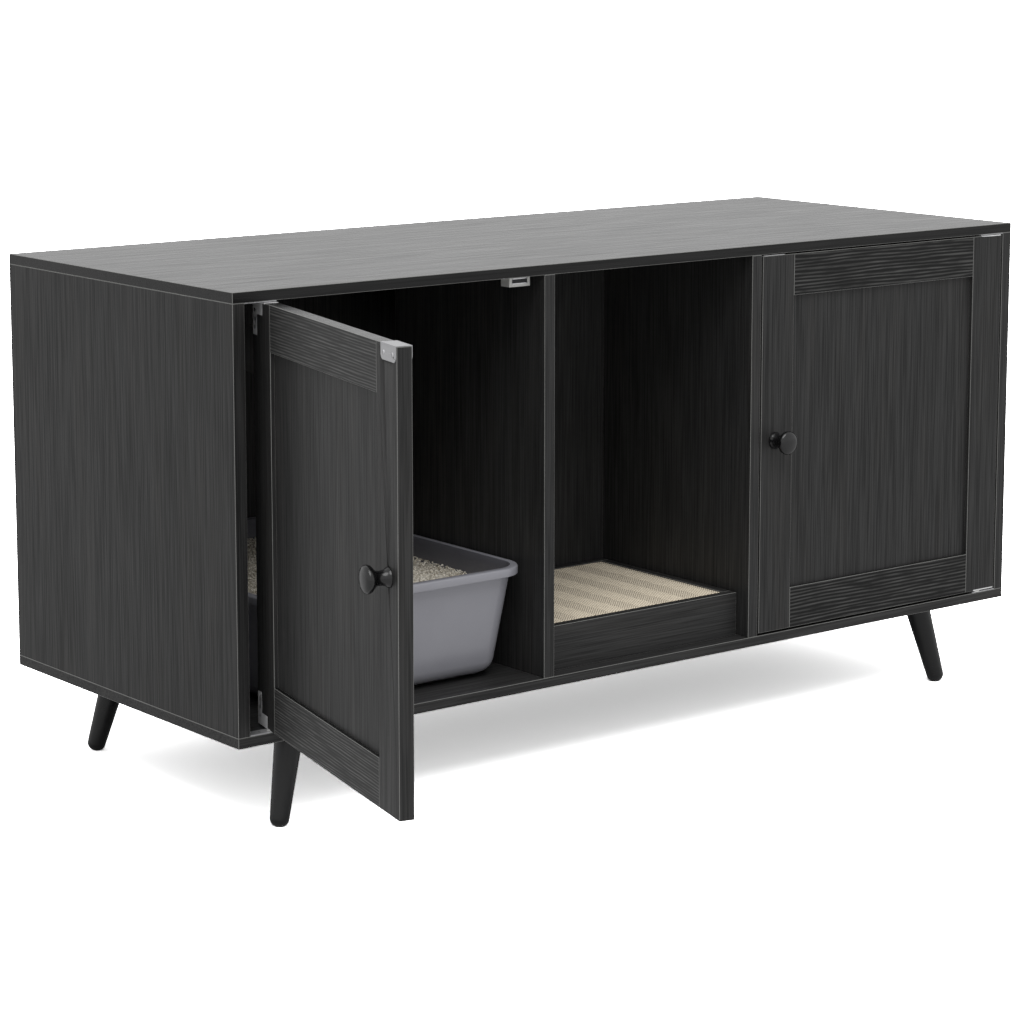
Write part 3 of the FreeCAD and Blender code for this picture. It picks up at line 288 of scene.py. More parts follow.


# A pale grey paint on the bevels: a painted highlight for the line of light that an edge catches.
edge_highlight_paint = speckled("pale_edge_painted_highlight", "6c6c6a", "848482", 1.5 * MM, 0.4, 0.02 * MM)
leg_lacquer = speckled("satin_black_lacquer_on_beech", "0f0f10", "161617", 1.2 * MM, 0.3,
                       0.02 * MM, Specular_IOR_Level=0.35)
knob_lacquer = speckled("gloss_black_lacquer", "0a0a0b", "101011", 2 * MM, 0.2, 0.01 * MM)
pan_plastic = speckled("moulded_grey_polypropylene", "93939a", "97979e", 0.9 * MM, 0.26,
                       0.02 * MM, swing=0.01)
# Darker grey inside the tub: painted shade for the shadow that fills it; the higher gloss is the polish.
pan_inside_painted_shade = speckled("polished_grey_polypropylene_painted_shade", "5b5b61", "606066", 0.9 * MM, 0.2,
                      0.02 * MM, swing=0.01)
catch_plastic = speckled("white_moulded_abs", "d2d2cf", "dcdcd9", 0.9 * MM, 0.4, 0.02 * MM)
black_cap = speckled("black_moulded_cap", "141414", "1c1c1c", 0.9 * MM, 0.4, 0.02 * MM)
nickel = speckled("nickel_plated_steel", "bcbcbe", "cdcdcf", 0.8 * MM, 0.3, 0.01 * MM,
                  metallic=1.0)
silver_sheet = speckled("silver_lacquered_steel_sheet", "a6a6a8", "b2b2b4", 0.8 * MM, 0.42,
                        0.02 * MM, metallic=0.5)
# Nearly white and only a fifth metal: painted light that keeps the hinge plates pale in the shade by the side
# panel.
hinge_white_painted_light = speckled("near_white_hinge_paint_painted_light", "dededf", "eaeaeb", 0.8 * MM, 0.5,
                      0.02 * MM, metallic=0.2)
zinc = speckled("die_cast_zinc", "8f8f92", "9c9c9f", 1.0 * MM, 0.45, 0.03 * MM, metallic=1.0)
ferrite = speckled("sintered_ferrite", "202023", "2a2a2d", 0.5 * MM, 0.6, 0.02 * MM)
fibreboard = speckled("raw_fibreboard", "8a6b4c", "a07f5c", 1.5 * MM, 0.8, 0.08 * MM)
beech = speckled("raw_beech_dowel", "b88f64", "c9a47b", 1.5 * MM, 0.7, 0.05 * MM)
print("finishes so far", len(bpy.data.materials))

# %% [markdown]
# ## Finishing a piece
# A finished piece is one mesh at the origin that rides on a body, stands for a node of the
# construction model, which is hidden, and takes the finishes that it is given. One function does
# all of it. A second one turns a bmesh into a mesh, and a third one copies a node: the copy's
# triangles are loose, so its doubles are merged first.

# %% helpers that copy a node and finish a piece
MERGE = 0.005 * MM
RECORD = frame["record"]
BODY_OF = {node: body for body, members in RECORD["behaviour"]["bodies"].items()
           for node in members}


def merged_copy(node):
    """A bmesh of a node of the construction model, with its loose triangles joined."""
    bm = bmesh.new()
    bm.from_mesh(frame["nodes"][node].data)
    bmesh.ops.remove_doubles(bm, verts=bm.verts, dist=MERGE)
    return bm


def mesh_from(bm, name, smooth_angle=None):
    """Turns a bmesh into a mesh; edges flatter than the angle in degrees are shaded smooth."""
    mesh = bpy.data.meshes.new(name)
    bm.to_mesh(mesh)
    bm.free()
    if smooth_angle is not None:
        mesh.shade_smooth()
        mesh.set_sharp_from_angle(angle=math.radians(smooth_angle))
    return mesh


def finish_piece(name, mesh, node, *materials):
    """Links a mesh as the piece that stands for a node, and says what carries it."""
    piece = bpy.data.objects.new(name, mesh)
    bpy.context.scene.collection.objects.link(piece)
    for material in materials:
        mesh.materials.append(material)
    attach(piece, BODY_OF[node])
    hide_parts(node)
    return piece


# %% [markdown]
# ## Boards and door members
# The construction model already has every board with its bored holes, grooves and tongues, but its
# edges are razor sharp, and a real edge always shows a thin line of light. So a copy of each board
# is merged, its flat faces are cleaned of their triangles, and every long edge is bevelled by half
# a millimetre. The new narrow faces take the second material, a pale paint that is a painted
# highlight for that line of light. The upper edges of the doors are banded with the smooth strip of
# the top panel, the third material.

# %% boards with broken edges
LONG_EDGE = 9 * MM
SHARP = math.radians(50)
FLAT = math.radians(1)
UPWARDS = 0.99
ARRIS_SEGMENTS = 2
CORNER_SEGMENTS = 6


def is_sharp(edge):
    return len(edge.link_faces) == 2 and edge.calc_face_angle() > SHARP


def bevel(bm, edges, offset, segments):
    """Rounds some edges and gives back the narrow faces that this makes."""
    made = bmesh.ops.bevel(bm, geom=edges, offset=offset, offset_type="OFFSET", affect="EDGES",
                           segments=segments, profile=0.5, material=-1, clamp_overlap=True)
    return made["faces"]


def round_corners(bm, thickness, radius):
    """Rounds the corners of a plate: they are its edges that are as long as it is thick."""
    edges = [edge for edge in bm.edges
             if is_sharp(edge) and abs(edge.calc_length() - thickness) < 0.05 * MM]
    bevel(bm, edges, radius, CORNER_SEGMENTS)


def broken_edges(node, arris, plate=None):
    """A copy of a node of the construction model whose long sharp edges are broken."""
    bm = merged_copy(node)
    bmesh.ops.dissolve_limit(bm, angle_limit=FLAT, verts=bm.verts, edges=bm.edges)
    if plate:
        round_corners(bm, *plate)
    edges = [edge for edge in bm.edges if is_sharp(edge) and edge.calc_length() > LONG_EDGE]
    # The narrow bevel faces take the second material, the pale painted edge highlight.
    for face in bevel(bm, edges, arris, ARRIS_SEGMENTS):
        face.material_index = 1
    return bm


BOARDS = {
    board_up: ["left_side_panel", "right_side_panel", "left_divider", "right_divider",
               "centre_back_panel", "back_panel", "left_door_hinge_stile",
               "left_door_lock_stile", "left_door_panel", "right_door_hinge_stile",
               "right_door_lock_stile", "right_door_panel"],
    board_top: ["top_panel"],
    board_across: ["bottom_panel", "tray_front_board", "tray_back_board"],
    board_backwards: ["tray_left_board", "tray_right_board"],
    rail_across: ["right_door_top_rail", "right_door_bottom_rail"],
    rail_open_door_painted_lighter: ["left_door_top_rail", "left_door_bottom_rail"],
}
BOARD_ARRIS = 0.5 * MM
for material, nodes in BOARDS.items():
    for node in nodes:
        bm = broken_edges(node, BOARD_ARRIS)
        finishes = [material, edge_highlight_paint]
        if "_door_" in node:
            finishes.append(board_top)
            for face in bm.faces:
                if face.normal.z > UPWARDS and face.material_index == 0:
                    face.material_index = 2
        mesh = mesh_from(bm, node + "_broken_edges")
        finish_piece(node + "_faced", mesh, node, *finishes)
        print(node, len(mesh.polygons), "faces")

# %% [markdown]
# ## Legs
# Each leg is a turned cone with a round foot, leaning outwards. The construction model's leg is
# right in shape, so a merged copy of it only needs smooth shading round the turning.

# %% legs
for node in ("front_left_leg", "front_right_leg", "back_left_leg", "back_right_leg"):
    mesh = mesh_from(merged_copy(node), node + "_turned", 35)
    finish_piece(node + "_lacquered", mesh, node, leg_lacquer)
    print(node, len(mesh.polygons), "faces")

# %% [markdown]
# ## Metal and plastic fittings
# Pressed steel plates and the catch housings are small, so their copies get a finer broken edge.
# A stamped plate has round corners, and its corner edges are known by their length: they are as
# long as the steel is thick. The broad faces of a strike plate are inset and sunk, which leaves the
# raised border that stiffens it. The hidden fittings inside the joints keep the construction
# model's meshes and only take their finish.

# %% fittings
# The hinge plates take the nearly white paint, painted light for the shade they sit in.
FITTINGS = {
    "left_door_upper_hinge_plate": hinge_white_painted_light, "left_door_lower_hinge_plate": hinge_white_painted_light,
    "right_door_upper_hinge_plate": hinge_white_painted_light, "right_door_lower_hinge_plate": hinge_white_painted_light,
    "left_door_strike_plate": silver_sheet, "right_door_strike_plate": silver_sheet,
    "left_door_upper_pivot_bracket": silver_sheet, "left_door_lower_pivot_bracket": silver_sheet,
    "right_door_upper_pivot_bracket": silver_sheet, "right_door_lower_pivot_bracket": silver_sheet,
    "left_door_catch_housing": catch_plastic, "right_door_catch_housing": catch_plastic,
    "leg_plates": nickel,
}
FITTING_ARRIS = 0.2 * MM
PLATES = {"hinge_plate": (1.2 * MM, 2.5 * MM), "strike_plate": (0.8 * MM, 6 * MM)}
BROAD_FACE = 200 * MM ** 2
STRIKE_BORDER = 1.2 * MM
STRIKE_SLOPE = 0.2 * MM
STRIKE_DEPTH = 0.25 * MM
for node, material in FITTINGS.items():
    plate = next((sheet for kind, sheet in PLATES.items() if node.endswith(kind)), None)
    bm = broken_edges(node, FITTING_ARRIS, plate)
    if node.endswith("strike_plate"):
        broad = [face for face in bm.faces if face.calc_area() > BROAD_FACE]
        for width, depth in ((STRIKE_BORDER, 0), (STRIKE_SLOPE, -STRIKE_DEPTH)):
            bmesh.ops.inset_region(bm, faces=broad, thickness=width, depth=depth,
                                   use_even_offset=True)
        print(node, len(broad), "broad faces sunk")
    finish_piece(node + "_fitting", mesh_from(bm, node + "_pressed"), node, material, material)

# %% kept nodes inside the joints
HIDDEN = {
    "dowels": beech, "cam_bolts": nickel, "cam_locks": zinc, "cam_caps": black_cap,
    "back_panel_nails": nickel, "leg_bolts": nickel, "leg_plate_screws": nickel,
    "pivot_bracket_screws": nickel, "pivot_washers": catch_plastic, "catch_magnets": ferrite,
    "catch_pole_plates": nickel, "catch_screws": nickel, "tray_base": fibreboard,
    "mat_board": fibreboard,
}
for node, material in HIDDEN.items():
    kept = frame["nodes"][node]
    kept.data.materials.clear()
    kept.data.materials.append(material)
print(len(FITTINGS), "fittings and", len(HIDDEN), "kept nodes")

# %% [markdown]
# ## Knobs
# A turned mushroom knob is a profile spun about its own axis. The profile is written as radius and
# distance from the door. Both doors are modelled closed, and the left knob is then turned about
# its door's pivot.

# %% knobs
KNOB_PROFILE = [
    (0, 0), (10.5, 0), (10.5, 1.4), (9.2, 3.0), (7.6, 7.0), (7.3, 11.5), (8.2, 15.0), (11.4, 17.8),
    (13.9, 20.4), (14.5, 23.0), (14.2, 25.0), (12.4, 27.0), (8.6, 28.1), (4.3, 28.75), (0, 29.0)]
KNOB_TURNS = 48
DOORS = ("left_door", "right_door")


def door_turn(door):
    """The turn about the door's pivot that carries its closed place to its place at rest."""
    joint = JOINT_OF[door]
    pivot = Matrix.Translation(joint["pos_m"])
    angle = -math.radians(joint["range_deg"][1]) * joint["axis"][2]
    return pivot @ Matrix.Rotation(angle, 4, "Z") @ pivot.inverted()


def corners_of(points):
    """The lowest and the highest corner of the box round some points."""
    return (Vector([min(point[i] for point in points) for i in range(3)]),
            Vector([max(point[i] for point in points) for i in range(3)]))


def closed_box(node):
    """The box round a door's node when the door is closed."""
    back = door_turn(BODY_OF[node]).inverted()
    return corners_of([back @ vertex.co for vertex in frame["nodes"][node].data.vertices])


def spun(profile, turns):
    """A closed turning about the -y axis from points of radius and distance, in millimetres."""
    bm = bmesh.new()
    points = [bm.verts.new((radius * MM, -distance * MM, 0)) for radius, distance in profile]
    edges = [bm.edges.new(pair) for pair in zip(points, points[1:])]
    bmesh.ops.spin(bm, geom=points + edges, cent=(0, 0, 0), axis=(0, 1, 0), angle=2 * math.pi,
                   steps=turns, use_merge=True)
    bmesh.ops.remove_doubles(bm, verts=bm.verts, dist=MERGE)
    bmesh.ops.recalc_face_normals(bm, faces=bm.faces)
    return bm


for door in DOORS:
    node = door + "_knob"
    low, high = closed_box(node)
    foot = Vector(((low.x + high.x) / 2, high.y, (low.z + high.z) / 2))
    bm = spun(KNOB_PROFILE, KNOB_TURNS)
    bmesh.ops.transform(bm, matrix=door_turn(door) @ Matrix.Translation(foot), verts=bm.verts)
    finish_piece(node + "_turned", mesh_from(bm, node, 50), node, knob_lacquer)
    print(node, "stands", round((high.y - low.y) / MM, 1), "mm proud")

# %% [markdown]
# ## Door screws
# Three small screws hold each hinge plate, two hold the strike plate, and one runs through the door
# into the knob. Each is a solid of the construction model, and its box tells where it sits and
# which face of the door it enters. In its place a screw is spun, and four wedges of its head are
# pushed in for the driver's cross.

# %% one screw with a cross in its head
SCREW_TURNS = 16
HEAD_RADIUS = 2.1 * MM
HEAD_RISE = 0.35 * MM
HEAD_TOP = 0.9
SHANK_SHARE = 0.45
CROSS_ARM = 0.62
CROSS_DEPTH = 0.5
FIRST_OF_QUARTER = 181 / SCREW_TURNS


def spun_screw(radius, rise, shank, length):
    """A round-headed screw along -y, whose head has a driver's cross; sizes in millimetres."""
    arm = CROSS_ARM * radius
    bm = spun([(0, rise), (arm, rise * 0.96), (radius * 0.88, rise * 0.6), (radius, rise * 0.15),
               (radius, 0), (shank, 0), (shank, -length), (0, -length)], SCREW_TURNS)
    wedges = []
    for face in bm.faces:
        middle = face.calc_center_median()
        turn = math.degrees(math.atan2(middle.z, middle.x)) % 90
        on_top = middle.y < -rise * HEAD_TOP * MM and math.hypot(middle.x, middle.z) < arm * MM
        if on_top and turn < FIRST_OF_QUARTER:
            wedges.append(face)
    made = bmesh.ops.extrude_face_region(bm, geom=wedges)["geom"]
    pushed = [item for item in made if isinstance(item, bmesh.types.BMVert)]
    bmesh.ops.translate(bm, vec=(0, rise * CROSS_DEPTH * MM, 0), verts=pushed)
    bmesh.ops.delete(bm, geom=wedges, context="FACES_ONLY")
    bmesh.ops.recalc_face_normals(bm, faces=bm.faces)
    return bm


print("screw heads are at least", round(2 * HEAD_RADIUS / MM, 1), "mm across")

# %% screws of both doors


def loose_parts(bm):
    """The vertices of each separate solid."""
    seen, parts = set(), []
    for first in bm.verts:
        if first in seen:
            continue
        seen.add(first)
        part = [first]
        for vertex in part:
            near = [edge.other_vert(vertex) for edge in vertex.link_edges]
            fresh = [other for other in near if other not in seen]
            seen.update(fresh)
            part += fresh
        parts.append(part)
    return parts


for door in DOORS:
    node = door + "_screws"
    turned = door_turn(door)
    stile_low, stile_high = closed_box(door + "_lock_stile")
    solids = merged_copy(node)
    bmesh.ops.transform(solids, matrix=turned.inverted(), verts=solids.verts)
    screws = bmesh.new()
    for part in loose_parts(solids):
        low, high = corners_of([vertex.co for vertex in part])
        outside = abs(low.y - stile_low.y) < abs(high.y - stile_high.y)
        seat = stile_low.y if outside else stile_high.y
        tip = high.y if outside else low.y
        rise = max(HEAD_RISE, (stile_low.y - low.y) if outside else (high.y - stile_high.y))
        radius = max(HEAD_RADIUS, (high.x - low.x) / 2)
        made = spun_screw(radius / MM, rise / MM, radius / MM * SHANK_SHARE, abs(tip - seat) / MM)
        facing = Matrix.Identity(4) if outside else Matrix.Rotation(math.pi, 4, "Z")
        middle = ((low.x + high.x) / 2, seat, (low.z + high.z) / 2)
        bmesh.ops.transform(made, matrix=turned @ Matrix.Translation(middle) @ facing,
                            verts=made.verts)
        shape = mesh_from(made, "screw")
        screws.from_mesh(shape)
        bpy.data.meshes.remove(shape)
    solids.free()
    finish_piece(node + "_turned", mesh_from(screws, node, 40), node, nickel)
    print(node, "in place")

# %% [markdown]
# ## Litter pan
# The pan is one moulding: a tub that widens upwards, with round corners, a soft bottom edge and a
# turned rim. A ring of vertices is a circle whose four quarters are pushed apart, which makes a
# rectangle with round corners. The ring is extruded again and again along the pan's section,
# outside, over the rim and down inside.

# %% rings that make a rounded tub
RING_SEGMENTS = 64


def quarter_signs(vertex, middle):
    return (1 if vertex.co.x > middle.x else -1), (1 if vertex.co.y > middle.y else -1)


def first_ring(bm, middle, width, length, radius, height):
    """A rounded rectangle made from a circle whose quarters are pushed apart."""
    half_step = Matrix.Rotation(math.pi / RING_SEGMENTS, 4, "Z")
    matrix = Matrix.Translation((middle.x, middle.y, height)) @ half_step
    circle = bmesh.ops.create_circle(bm, cap_ends=False, radius=radius, segments=RING_SEGMENTS,
                                     matrix=matrix)
    for vertex in circle["verts"]:
        right, back = quarter_signs(vertex, middle)
        vertex.co.x += right * (width / 2 - radius)
        vertex.co.y += back * (length / 2 - radius)
    return list({edge for vertex in circle["verts"] for edge in vertex.link_edges})


def next_ring(bm, edges, middle, old, new):
    """Extrudes a ring and gives it a new width, length, corner radius and height."""
    made = bmesh.ops.extrude_edge_only(bm, edges=edges)["geom"]
    for vertex in (item for item in made if isinstance(item, bmesh.types.BMVert)):
        right, back = quarter_signs(vertex, middle)
        arm_x = (vertex.co.x - middle.x - right * (old[0] / 2 - old[2])) / old[2]
        arm_y = (vertex.co.y - middle.y - back * (old[1] / 2 - old[2])) / old[2]
        vertex.co.x = middle.x + right * (new[0] / 2 - new[2]) + arm_x * new[2]
        vertex.co.y = middle.y + back * (new[1] / 2 - new[2]) + arm_y * new[2]
        vertex.co.z = new[3]
    return [item for item in made if isinstance(item, bmesh.types.BMEdge)]


def ringed(bm, middle, rings):
    """Extrudes through a list of rings and closes both ends."""
    edges = first_ring(bm, middle, *rings[0])
    bmesh.ops.contextual_create(bm, geom=edges)
    for old, new in zip(rings, rings[1:]):
        edges = next_ring(bm, edges, middle, old, new)
    bmesh.ops.contextual_create(bm, geom=edges)
    bmesh.ops.recalc_face_normals(bm, faces=bm.faces)


print("a ring has", RING_SEGMENTS, "vertices")

# %% the pan's sizes and its section
PAN_CORNER = 40 * MM
PAN_OVERHANG = 8 * MM
PAN_TAPER = 20 * MM
PAN_WALL = 2.6 * MM
PAN_BOTTOM_ROUND = 16 * MM
PAN_FOOT = 3 * MM
RIM_HEIGHT = 10 * MM
RIM_ROUND = 2.4 * MM
RIM_DRAFT = 0.2 * MM
pan_low, pan_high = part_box("litter_pan")
pan_middle = (pan_low + pan_high) / 2
pan_floor = pan_low.z + PAN_FOOT
pan_height = pan_high.z - pan_floor


def pan_ring(inset, rise):
    """The ring at an inset from the rim and a height above the pan's underside."""
    beyond = max(0, inset - PAN_OVERHANG)
    corner = PAN_CORNER - min(inset, PAN_OVERHANG) - 0.5 * beyond
    return (pan_high.x - pan_low.x - 2 * inset, pan_high.y - pan_low.y - 2 * inset, corner,
            pan_floor + rise)


def wall_inset(rise):
    return PAN_OVERHANG + PAN_TAPER * (1 - rise / pan_height)


def soft_bottom(radius, wall, turn):
    """A point of the round between the floor and the wall, as (inset, height)."""
    rise = wall + radius * (1 - math.cos(turn))
    return wall_inset(rise) + wall + radius * (1 - math.sin(turn)), rise


def pan_section():
    """The pan's section as (inset, height), from the underside over the rim to the inside floor."""
    steps = [i * math.pi / 8 for i in range(5)]
    section = [soft_bottom(PAN_BOTTOM_ROUND, 0, turn) for turn in steps]
    section += [(wall_inset(share * pan_height), share * pan_height)
                for share in (0.3, 0.5, 0.7, 0.85)]
    under = pan_height - RIM_HEIGHT
    round_start = pan_height - RIM_ROUND
    section += [(wall_inset(under) + 0.4 * MM, under - 1.2 * MM),
                (wall_inset(under) - 1.0 * MM, under), (1.2 * MM, under),
                (0.3 * MM, under + 0.4 * MM), (0, under + 1.4 * MM), (RIM_DRAFT, round_start)]
    section += [(RIM_DRAFT + RIM_ROUND * (1 - math.cos(turn)),
                 pan_height - RIM_ROUND * (1 - math.sin(turn))) for turn in steps[1:]]
    shoulder = PAN_OVERHANG + PAN_WALL
    section += [(shoulder - 1.6 * MM, pan_height), (shoulder - 0.5 * MM, pan_height - 0.5 * MM),
                (shoulder + 0.2 * MM, pan_height - 2 * MM)]
    section += [(wall_inset(share * pan_height) + PAN_WALL, share * pan_height)
                for share in (0.93, 0.7, 0.5, 0.3, 0.18)]
    section += [soft_bottom(PAN_BOTTOM_ROUND - PAN_WALL, PAN_WALL, turn)
                for turn in reversed(steps)]
    return section


print("the tub stands", round(pan_height / MM, 1), "mm above its feet")

# %% the pan with its feet
FOOT_SPREAD = 0.33
FOOT_RADIUS = 8 * MM
FOOT_TAPER = 0.86
FOOT_DEPTH = PAN_FOOT + PAN_WALL / 2
bm = bmesh.new()
ringed(bm, pan_middle, [pan_ring(inset, rise) for inset, rise in pan_section()])
for right in (-1, 1):
    for back in (-1, 1):
        place = (pan_middle.x + right * FOOT_SPREAD * (pan_high.x - pan_low.x),
                 pan_middle.y + back * FOOT_SPREAD * (pan_high.y - pan_low.y),
                 pan_low.z + FOOT_DEPTH / 2)
        bmesh.ops.create_cone(bm, cap_ends=True, segments=24, radius1=FOOT_RADIUS * FOOT_TAPER,
                              radius2=FOOT_RADIUS, depth=FOOT_DEPTH,
                              matrix=Matrix.Translation(place))
# Faces that lean in or look up inside the tub take the darker paint, a painted shade.
for face in bm.faces:
    outwards = face.calc_center_median() - pan_middle
    leans_in = face.normal.xy.dot(outwards.xy) < -0.2 * outwards.length
    looks_up = face.normal.z > 0.3 and outwards.z < 0
    face.material_index = 1 if leans_in or looks_up else 0
mesh = mesh_from(bm, "pan_moulding", 40)
finish_piece("moulded_pan", mesh, "litter_pan", pan_plastic, pan_inside_painted_shade)
print("pan", len(mesh.polygons), "faces")

# %% [markdown]
# ## Litter
# Litter is crushed and rolled clay and wood: pale grains two to three millimetres across, some
# grey, some brown. A bumpy heap carries the mass, and thousands of small faceted grains lie on it.
# A grain is an icosphere of twenty faces, squashed and turned at random. Appending a small mesh to
# a bmesh is quick, so each grain is moved as a mesh of its own first. The colour changes from cell
# to cell at the size of a grain.

# %% litter material
GRAIN_SIZE = 2.3 * MM
DUST_SIZE = 0.8 * MM
litter_clay, tree = new_material("loose_clay_litter")
place = add(tree, "TexCoord").outputs["Object"]
cells = add(tree, "TexVoronoi", {"Vector": place, "Scale": 1 / GRAIN_SIZE}).outputs["Color"]
chance = add(tree, "SeparateColor", {"Color": cells})
paleness = add(tree, "MapRange", (chance.outputs["Red"], 0.2, 0.9))
pale = add(tree, "Mix", {"Factor": paleness, "A": linear("bcb5a6"), "B": linear("f8f3e8")},
           data_type="RGBA")
brownness = add(tree, "MapRange", (chance.outputs["Green"], 0.78, 0.9, 0, 0.7))
mixed = add(tree, "Mix", {"Factor": brownness, "A": pale, "B": linear("7a6a55")}, data_type="RGBA")
dust = add(tree, "TexNoise", {"Vector": place, "Scale": 1 / DUST_SIZE, "Detail": 2})
bump = add(tree, "Bump", {"Height": dust, "Strength": 0.6, "Distance": 0.2 * MM})
shade(tree, Base_Color=mixed, Normal=bump, Roughness=0.85)
print("litter grains are", round(GRAIN_SIZE / MM, 1), "mm across")

# %% litter heap
HEAP_RINGS = 22
LITTER_EDGE = 100 * MM
LITTER_SKIRT = 12 * MM
LITTER_PLAY = 0.6 * MM
GRAIN_ROOM = 1.5 * MM
HOLLOWS_PER_METRE = 14
CRUMBS_PER_METRE = 60
litter_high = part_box("litter_fill")[1]
edge_height = pan_floor + LITTER_EDGE
crown = litter_high.z - edge_height - GRAIN_ROOM


def litter_ring(rise):
    """The ring where litter at a height meets the pan's wall."""
    return pan_ring(wall_inset(rise) + PAN_WALL + LITTER_PLAY, rise)


def heap_height(x, y):
    """The heap's height at a place: a low dome with dug hollows and crumbs."""
    across = 2 * (x - pan_middle.x) / heap_width
    along = 2 * (y - pan_middle.y) / heap_length
    dome = max(0, 1 - 0.5 * (across ** 2 + along ** 2))
    dug = noise.noise(Vector((x * HOLLOWS_PER_METRE, y * HOLLOWS_PER_METRE, 0.3)))
    fine = noise.noise(Vector((x * CRUMBS_PER_METRE, y * CRUMBS_PER_METRE, 1.7)))
    return edge_height + crown * min(1, 0.92 * dome + 0.10 * dug * dome + 0.03 * fine)


heap_width, heap_length, heap_corner = litter_ring(LITTER_EDGE)[:3]
rings = [litter_ring(LITTER_EDGE - LITTER_SKIRT)]
for i in range(HEAP_RINGS):
    share = 1 - i / HEAP_RINGS
    rings.append((heap_width * share, heap_length * share, heap_corner * share, edge_height))
bm = bmesh.new()
ringed(bm, pan_middle, rings)
for vertex in bm.verts:
    if vertex.co.z > edge_height - LITTER_SKIRT + 1 * MM:
        vertex.co.z = heap_height(vertex.co.x, vertex.co.y)
print("heap", len(bm.faces), "faces")

# %% litter grains
GRAINS = 9000
GRAIN_SHAPES = 6
GRAIN_MARGIN = 2.5 * MM
random.seed(7)
shapes = []
for i in range(GRAIN_SHAPES):
    grain = bmesh.new()
    bmesh.ops.create_icosphere(grain, subdivisions=1, radius=1)
    for vertex in grain.verts:
        vertex.co *= random.uniform(0.75, 1.15)
    shapes.append(mesh_from(grain, f"grain_{i}"))
placed = 0
while placed < GRAINS:
    x = pan_middle.x + (random.random() - 0.5) * (heap_width - 2 * GRAIN_MARGIN)
    y = pan_middle.y + (random.random() - 0.5) * (heap_length - 2 * GRAIN_MARGIN)
    past_x = abs(x - pan_middle.x) - (heap_width / 2 - heap_corner)
    past_y = abs(y - pan_middle.y) - (heap_length / 2 - heap_corner)
    if past_x > 0 and past_y > 0 and math.hypot(past_x, past_y) > heap_corner - GRAIN_MARGIN:
        continue
    radius = random.uniform(0.85, 1.5) * MM
    lift = heap_height(x, y) + random.uniform(-0.3, 0.7) * radius
    turn = Matrix.Rotation(random.uniform(0, math.pi), 4,
                           Vector((random.random(), random.random(), 1)))
    stretch = Matrix.Diagonal((radius * 1.2, radius, radius * 0.75, 1))
    grain = random.choice(shapes).copy()
    grain.transform(Matrix.Translation((x, y, lift)) @ turn @ stretch)
    bm.from_mesh(grain)
    bpy.data.meshes.remove(grain)
    placed += 1
for shape in shapes:
    bpy.data.meshes.remove(shape)
mesh = mesh_from(bm, "litter_grains")
finish_piece("litter_heap", mesh, "litter_fill", litter_clay)
print("litter", len(mesh.polygons), "faces")

# %% [markdown]
# ## Scratching mat
# The mat is woven from twisted sisal in a herringbone: slanting ribs that change direction from
# band to band. A rib is nearly four millimetres wide. The ribs are real relief, made by lifting
# the vertices of a fine grid along the same formula that the colour uses. The colour is painted
# dark in the hollows and pale on the crowns: painted shade and painted highlight on top of that
# relief. It adds the short floats that each rib is made of, and the stray tone of single fibres.

# %% mat material
RIB = 3.7 * MM
BAND = 24 * MM
FLOAT = 4.6 * MM
FLOAT_STAGGER = math.radians(40)
FIBRE = 1.1 * MM
RIB_SHARE = 0.42
FLOAT_SHARE = 0.32

sisal_weave_painted_shade, tree = new_material("woven_sisal_herringbone_painted_shade")
place = add(tree, "TexCoord").outputs["Object"]
axes = add(tree, "SeparateXYZ", {"Vector": place})
zigzag = add(tree, "Math", (axes.outputs["X"], BAND), operation="PINGPONG")
slant = add(tree, "Math", (axes.outputs["Y"], zigzag), operation="ADD")
run = add(tree, "Math", (axes.outputs["Y"], zigzag), operation="SUBTRACT")
rib_phase = add(tree, "Math", (slant, 2 * math.pi / RIB), operation="MULTIPLY")
rib_wave = add(tree, "Math", (rib_phase,), operation="SINE")
rib_place = add(tree, "Math", (slant, RIB), operation="DIVIDE")
rib_number = add(tree, "Math", (rib_place,), operation="FLOOR")
stagger = add(tree, "Math", (rib_number, FLOAT_STAGGER), operation="MULTIPLY")
float_phase = add(tree, "Math", (run, 2 * math.pi / FLOAT, stagger), operation="MULTIPLY_ADD")
float_wave = add(tree, "Math", (float_phase,), operation="SINE")
fibres = add(tree, "TexNoise", {"Vector": place, "Scale": 1 / FIBRE, "Detail": 3})
ribs = add(tree, "Math", (rib_wave, RIB_SHARE, fibres), operation="MULTIPLY_ADD")
relief = add(tree, "Math", (float_wave, FLOAT_SHARE, ribs), operation="MULTIPLY_ADD")
# The tone follows the relief: painted shade in the hollows, painted highlight on the crowns, plus the fibres' own
# tone.
tone = add(tree, "MapRange", (relief, -0.12, 0.44))
sisal = add(tree, "Mix", {"Factor": tone, "A": linear("5a4024"), "B": linear("fff2d9")},
            data_type="RGBA")
bump = add(tree, "Bump", {"Height": relief, "Strength": 0.7, "Distance": 0.5 * MM})
shade(tree, Base_Color=sisal, Normal=bump, Roughness=0.85, Sheen_Weight=0.15, Sheen_Roughness=0.5)
print("mat ribs are", round(RIB / MM, 1), "mm wide")

# %% mat mesh
GRID_STEP = 0.9 * MM
RIB_HEIGHT = 0.28 * MM
RIM_FADE = 3 * MM
RIM_DROP = 1.2 * MM
mat_low, mat_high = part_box("scratch_mat")
mat_size = mat_high - mat_low


def rib_lift(x, y):
    """How far the weave stands up at a place: the same zigzag as the colour."""
    step = abs((x / BAND) % 2)
    zig = BAND * (step if step < 1 else 2 - step)
    return RIB_HEIGHT * math.sin(2 * math.pi * (y + zig) / RIB)


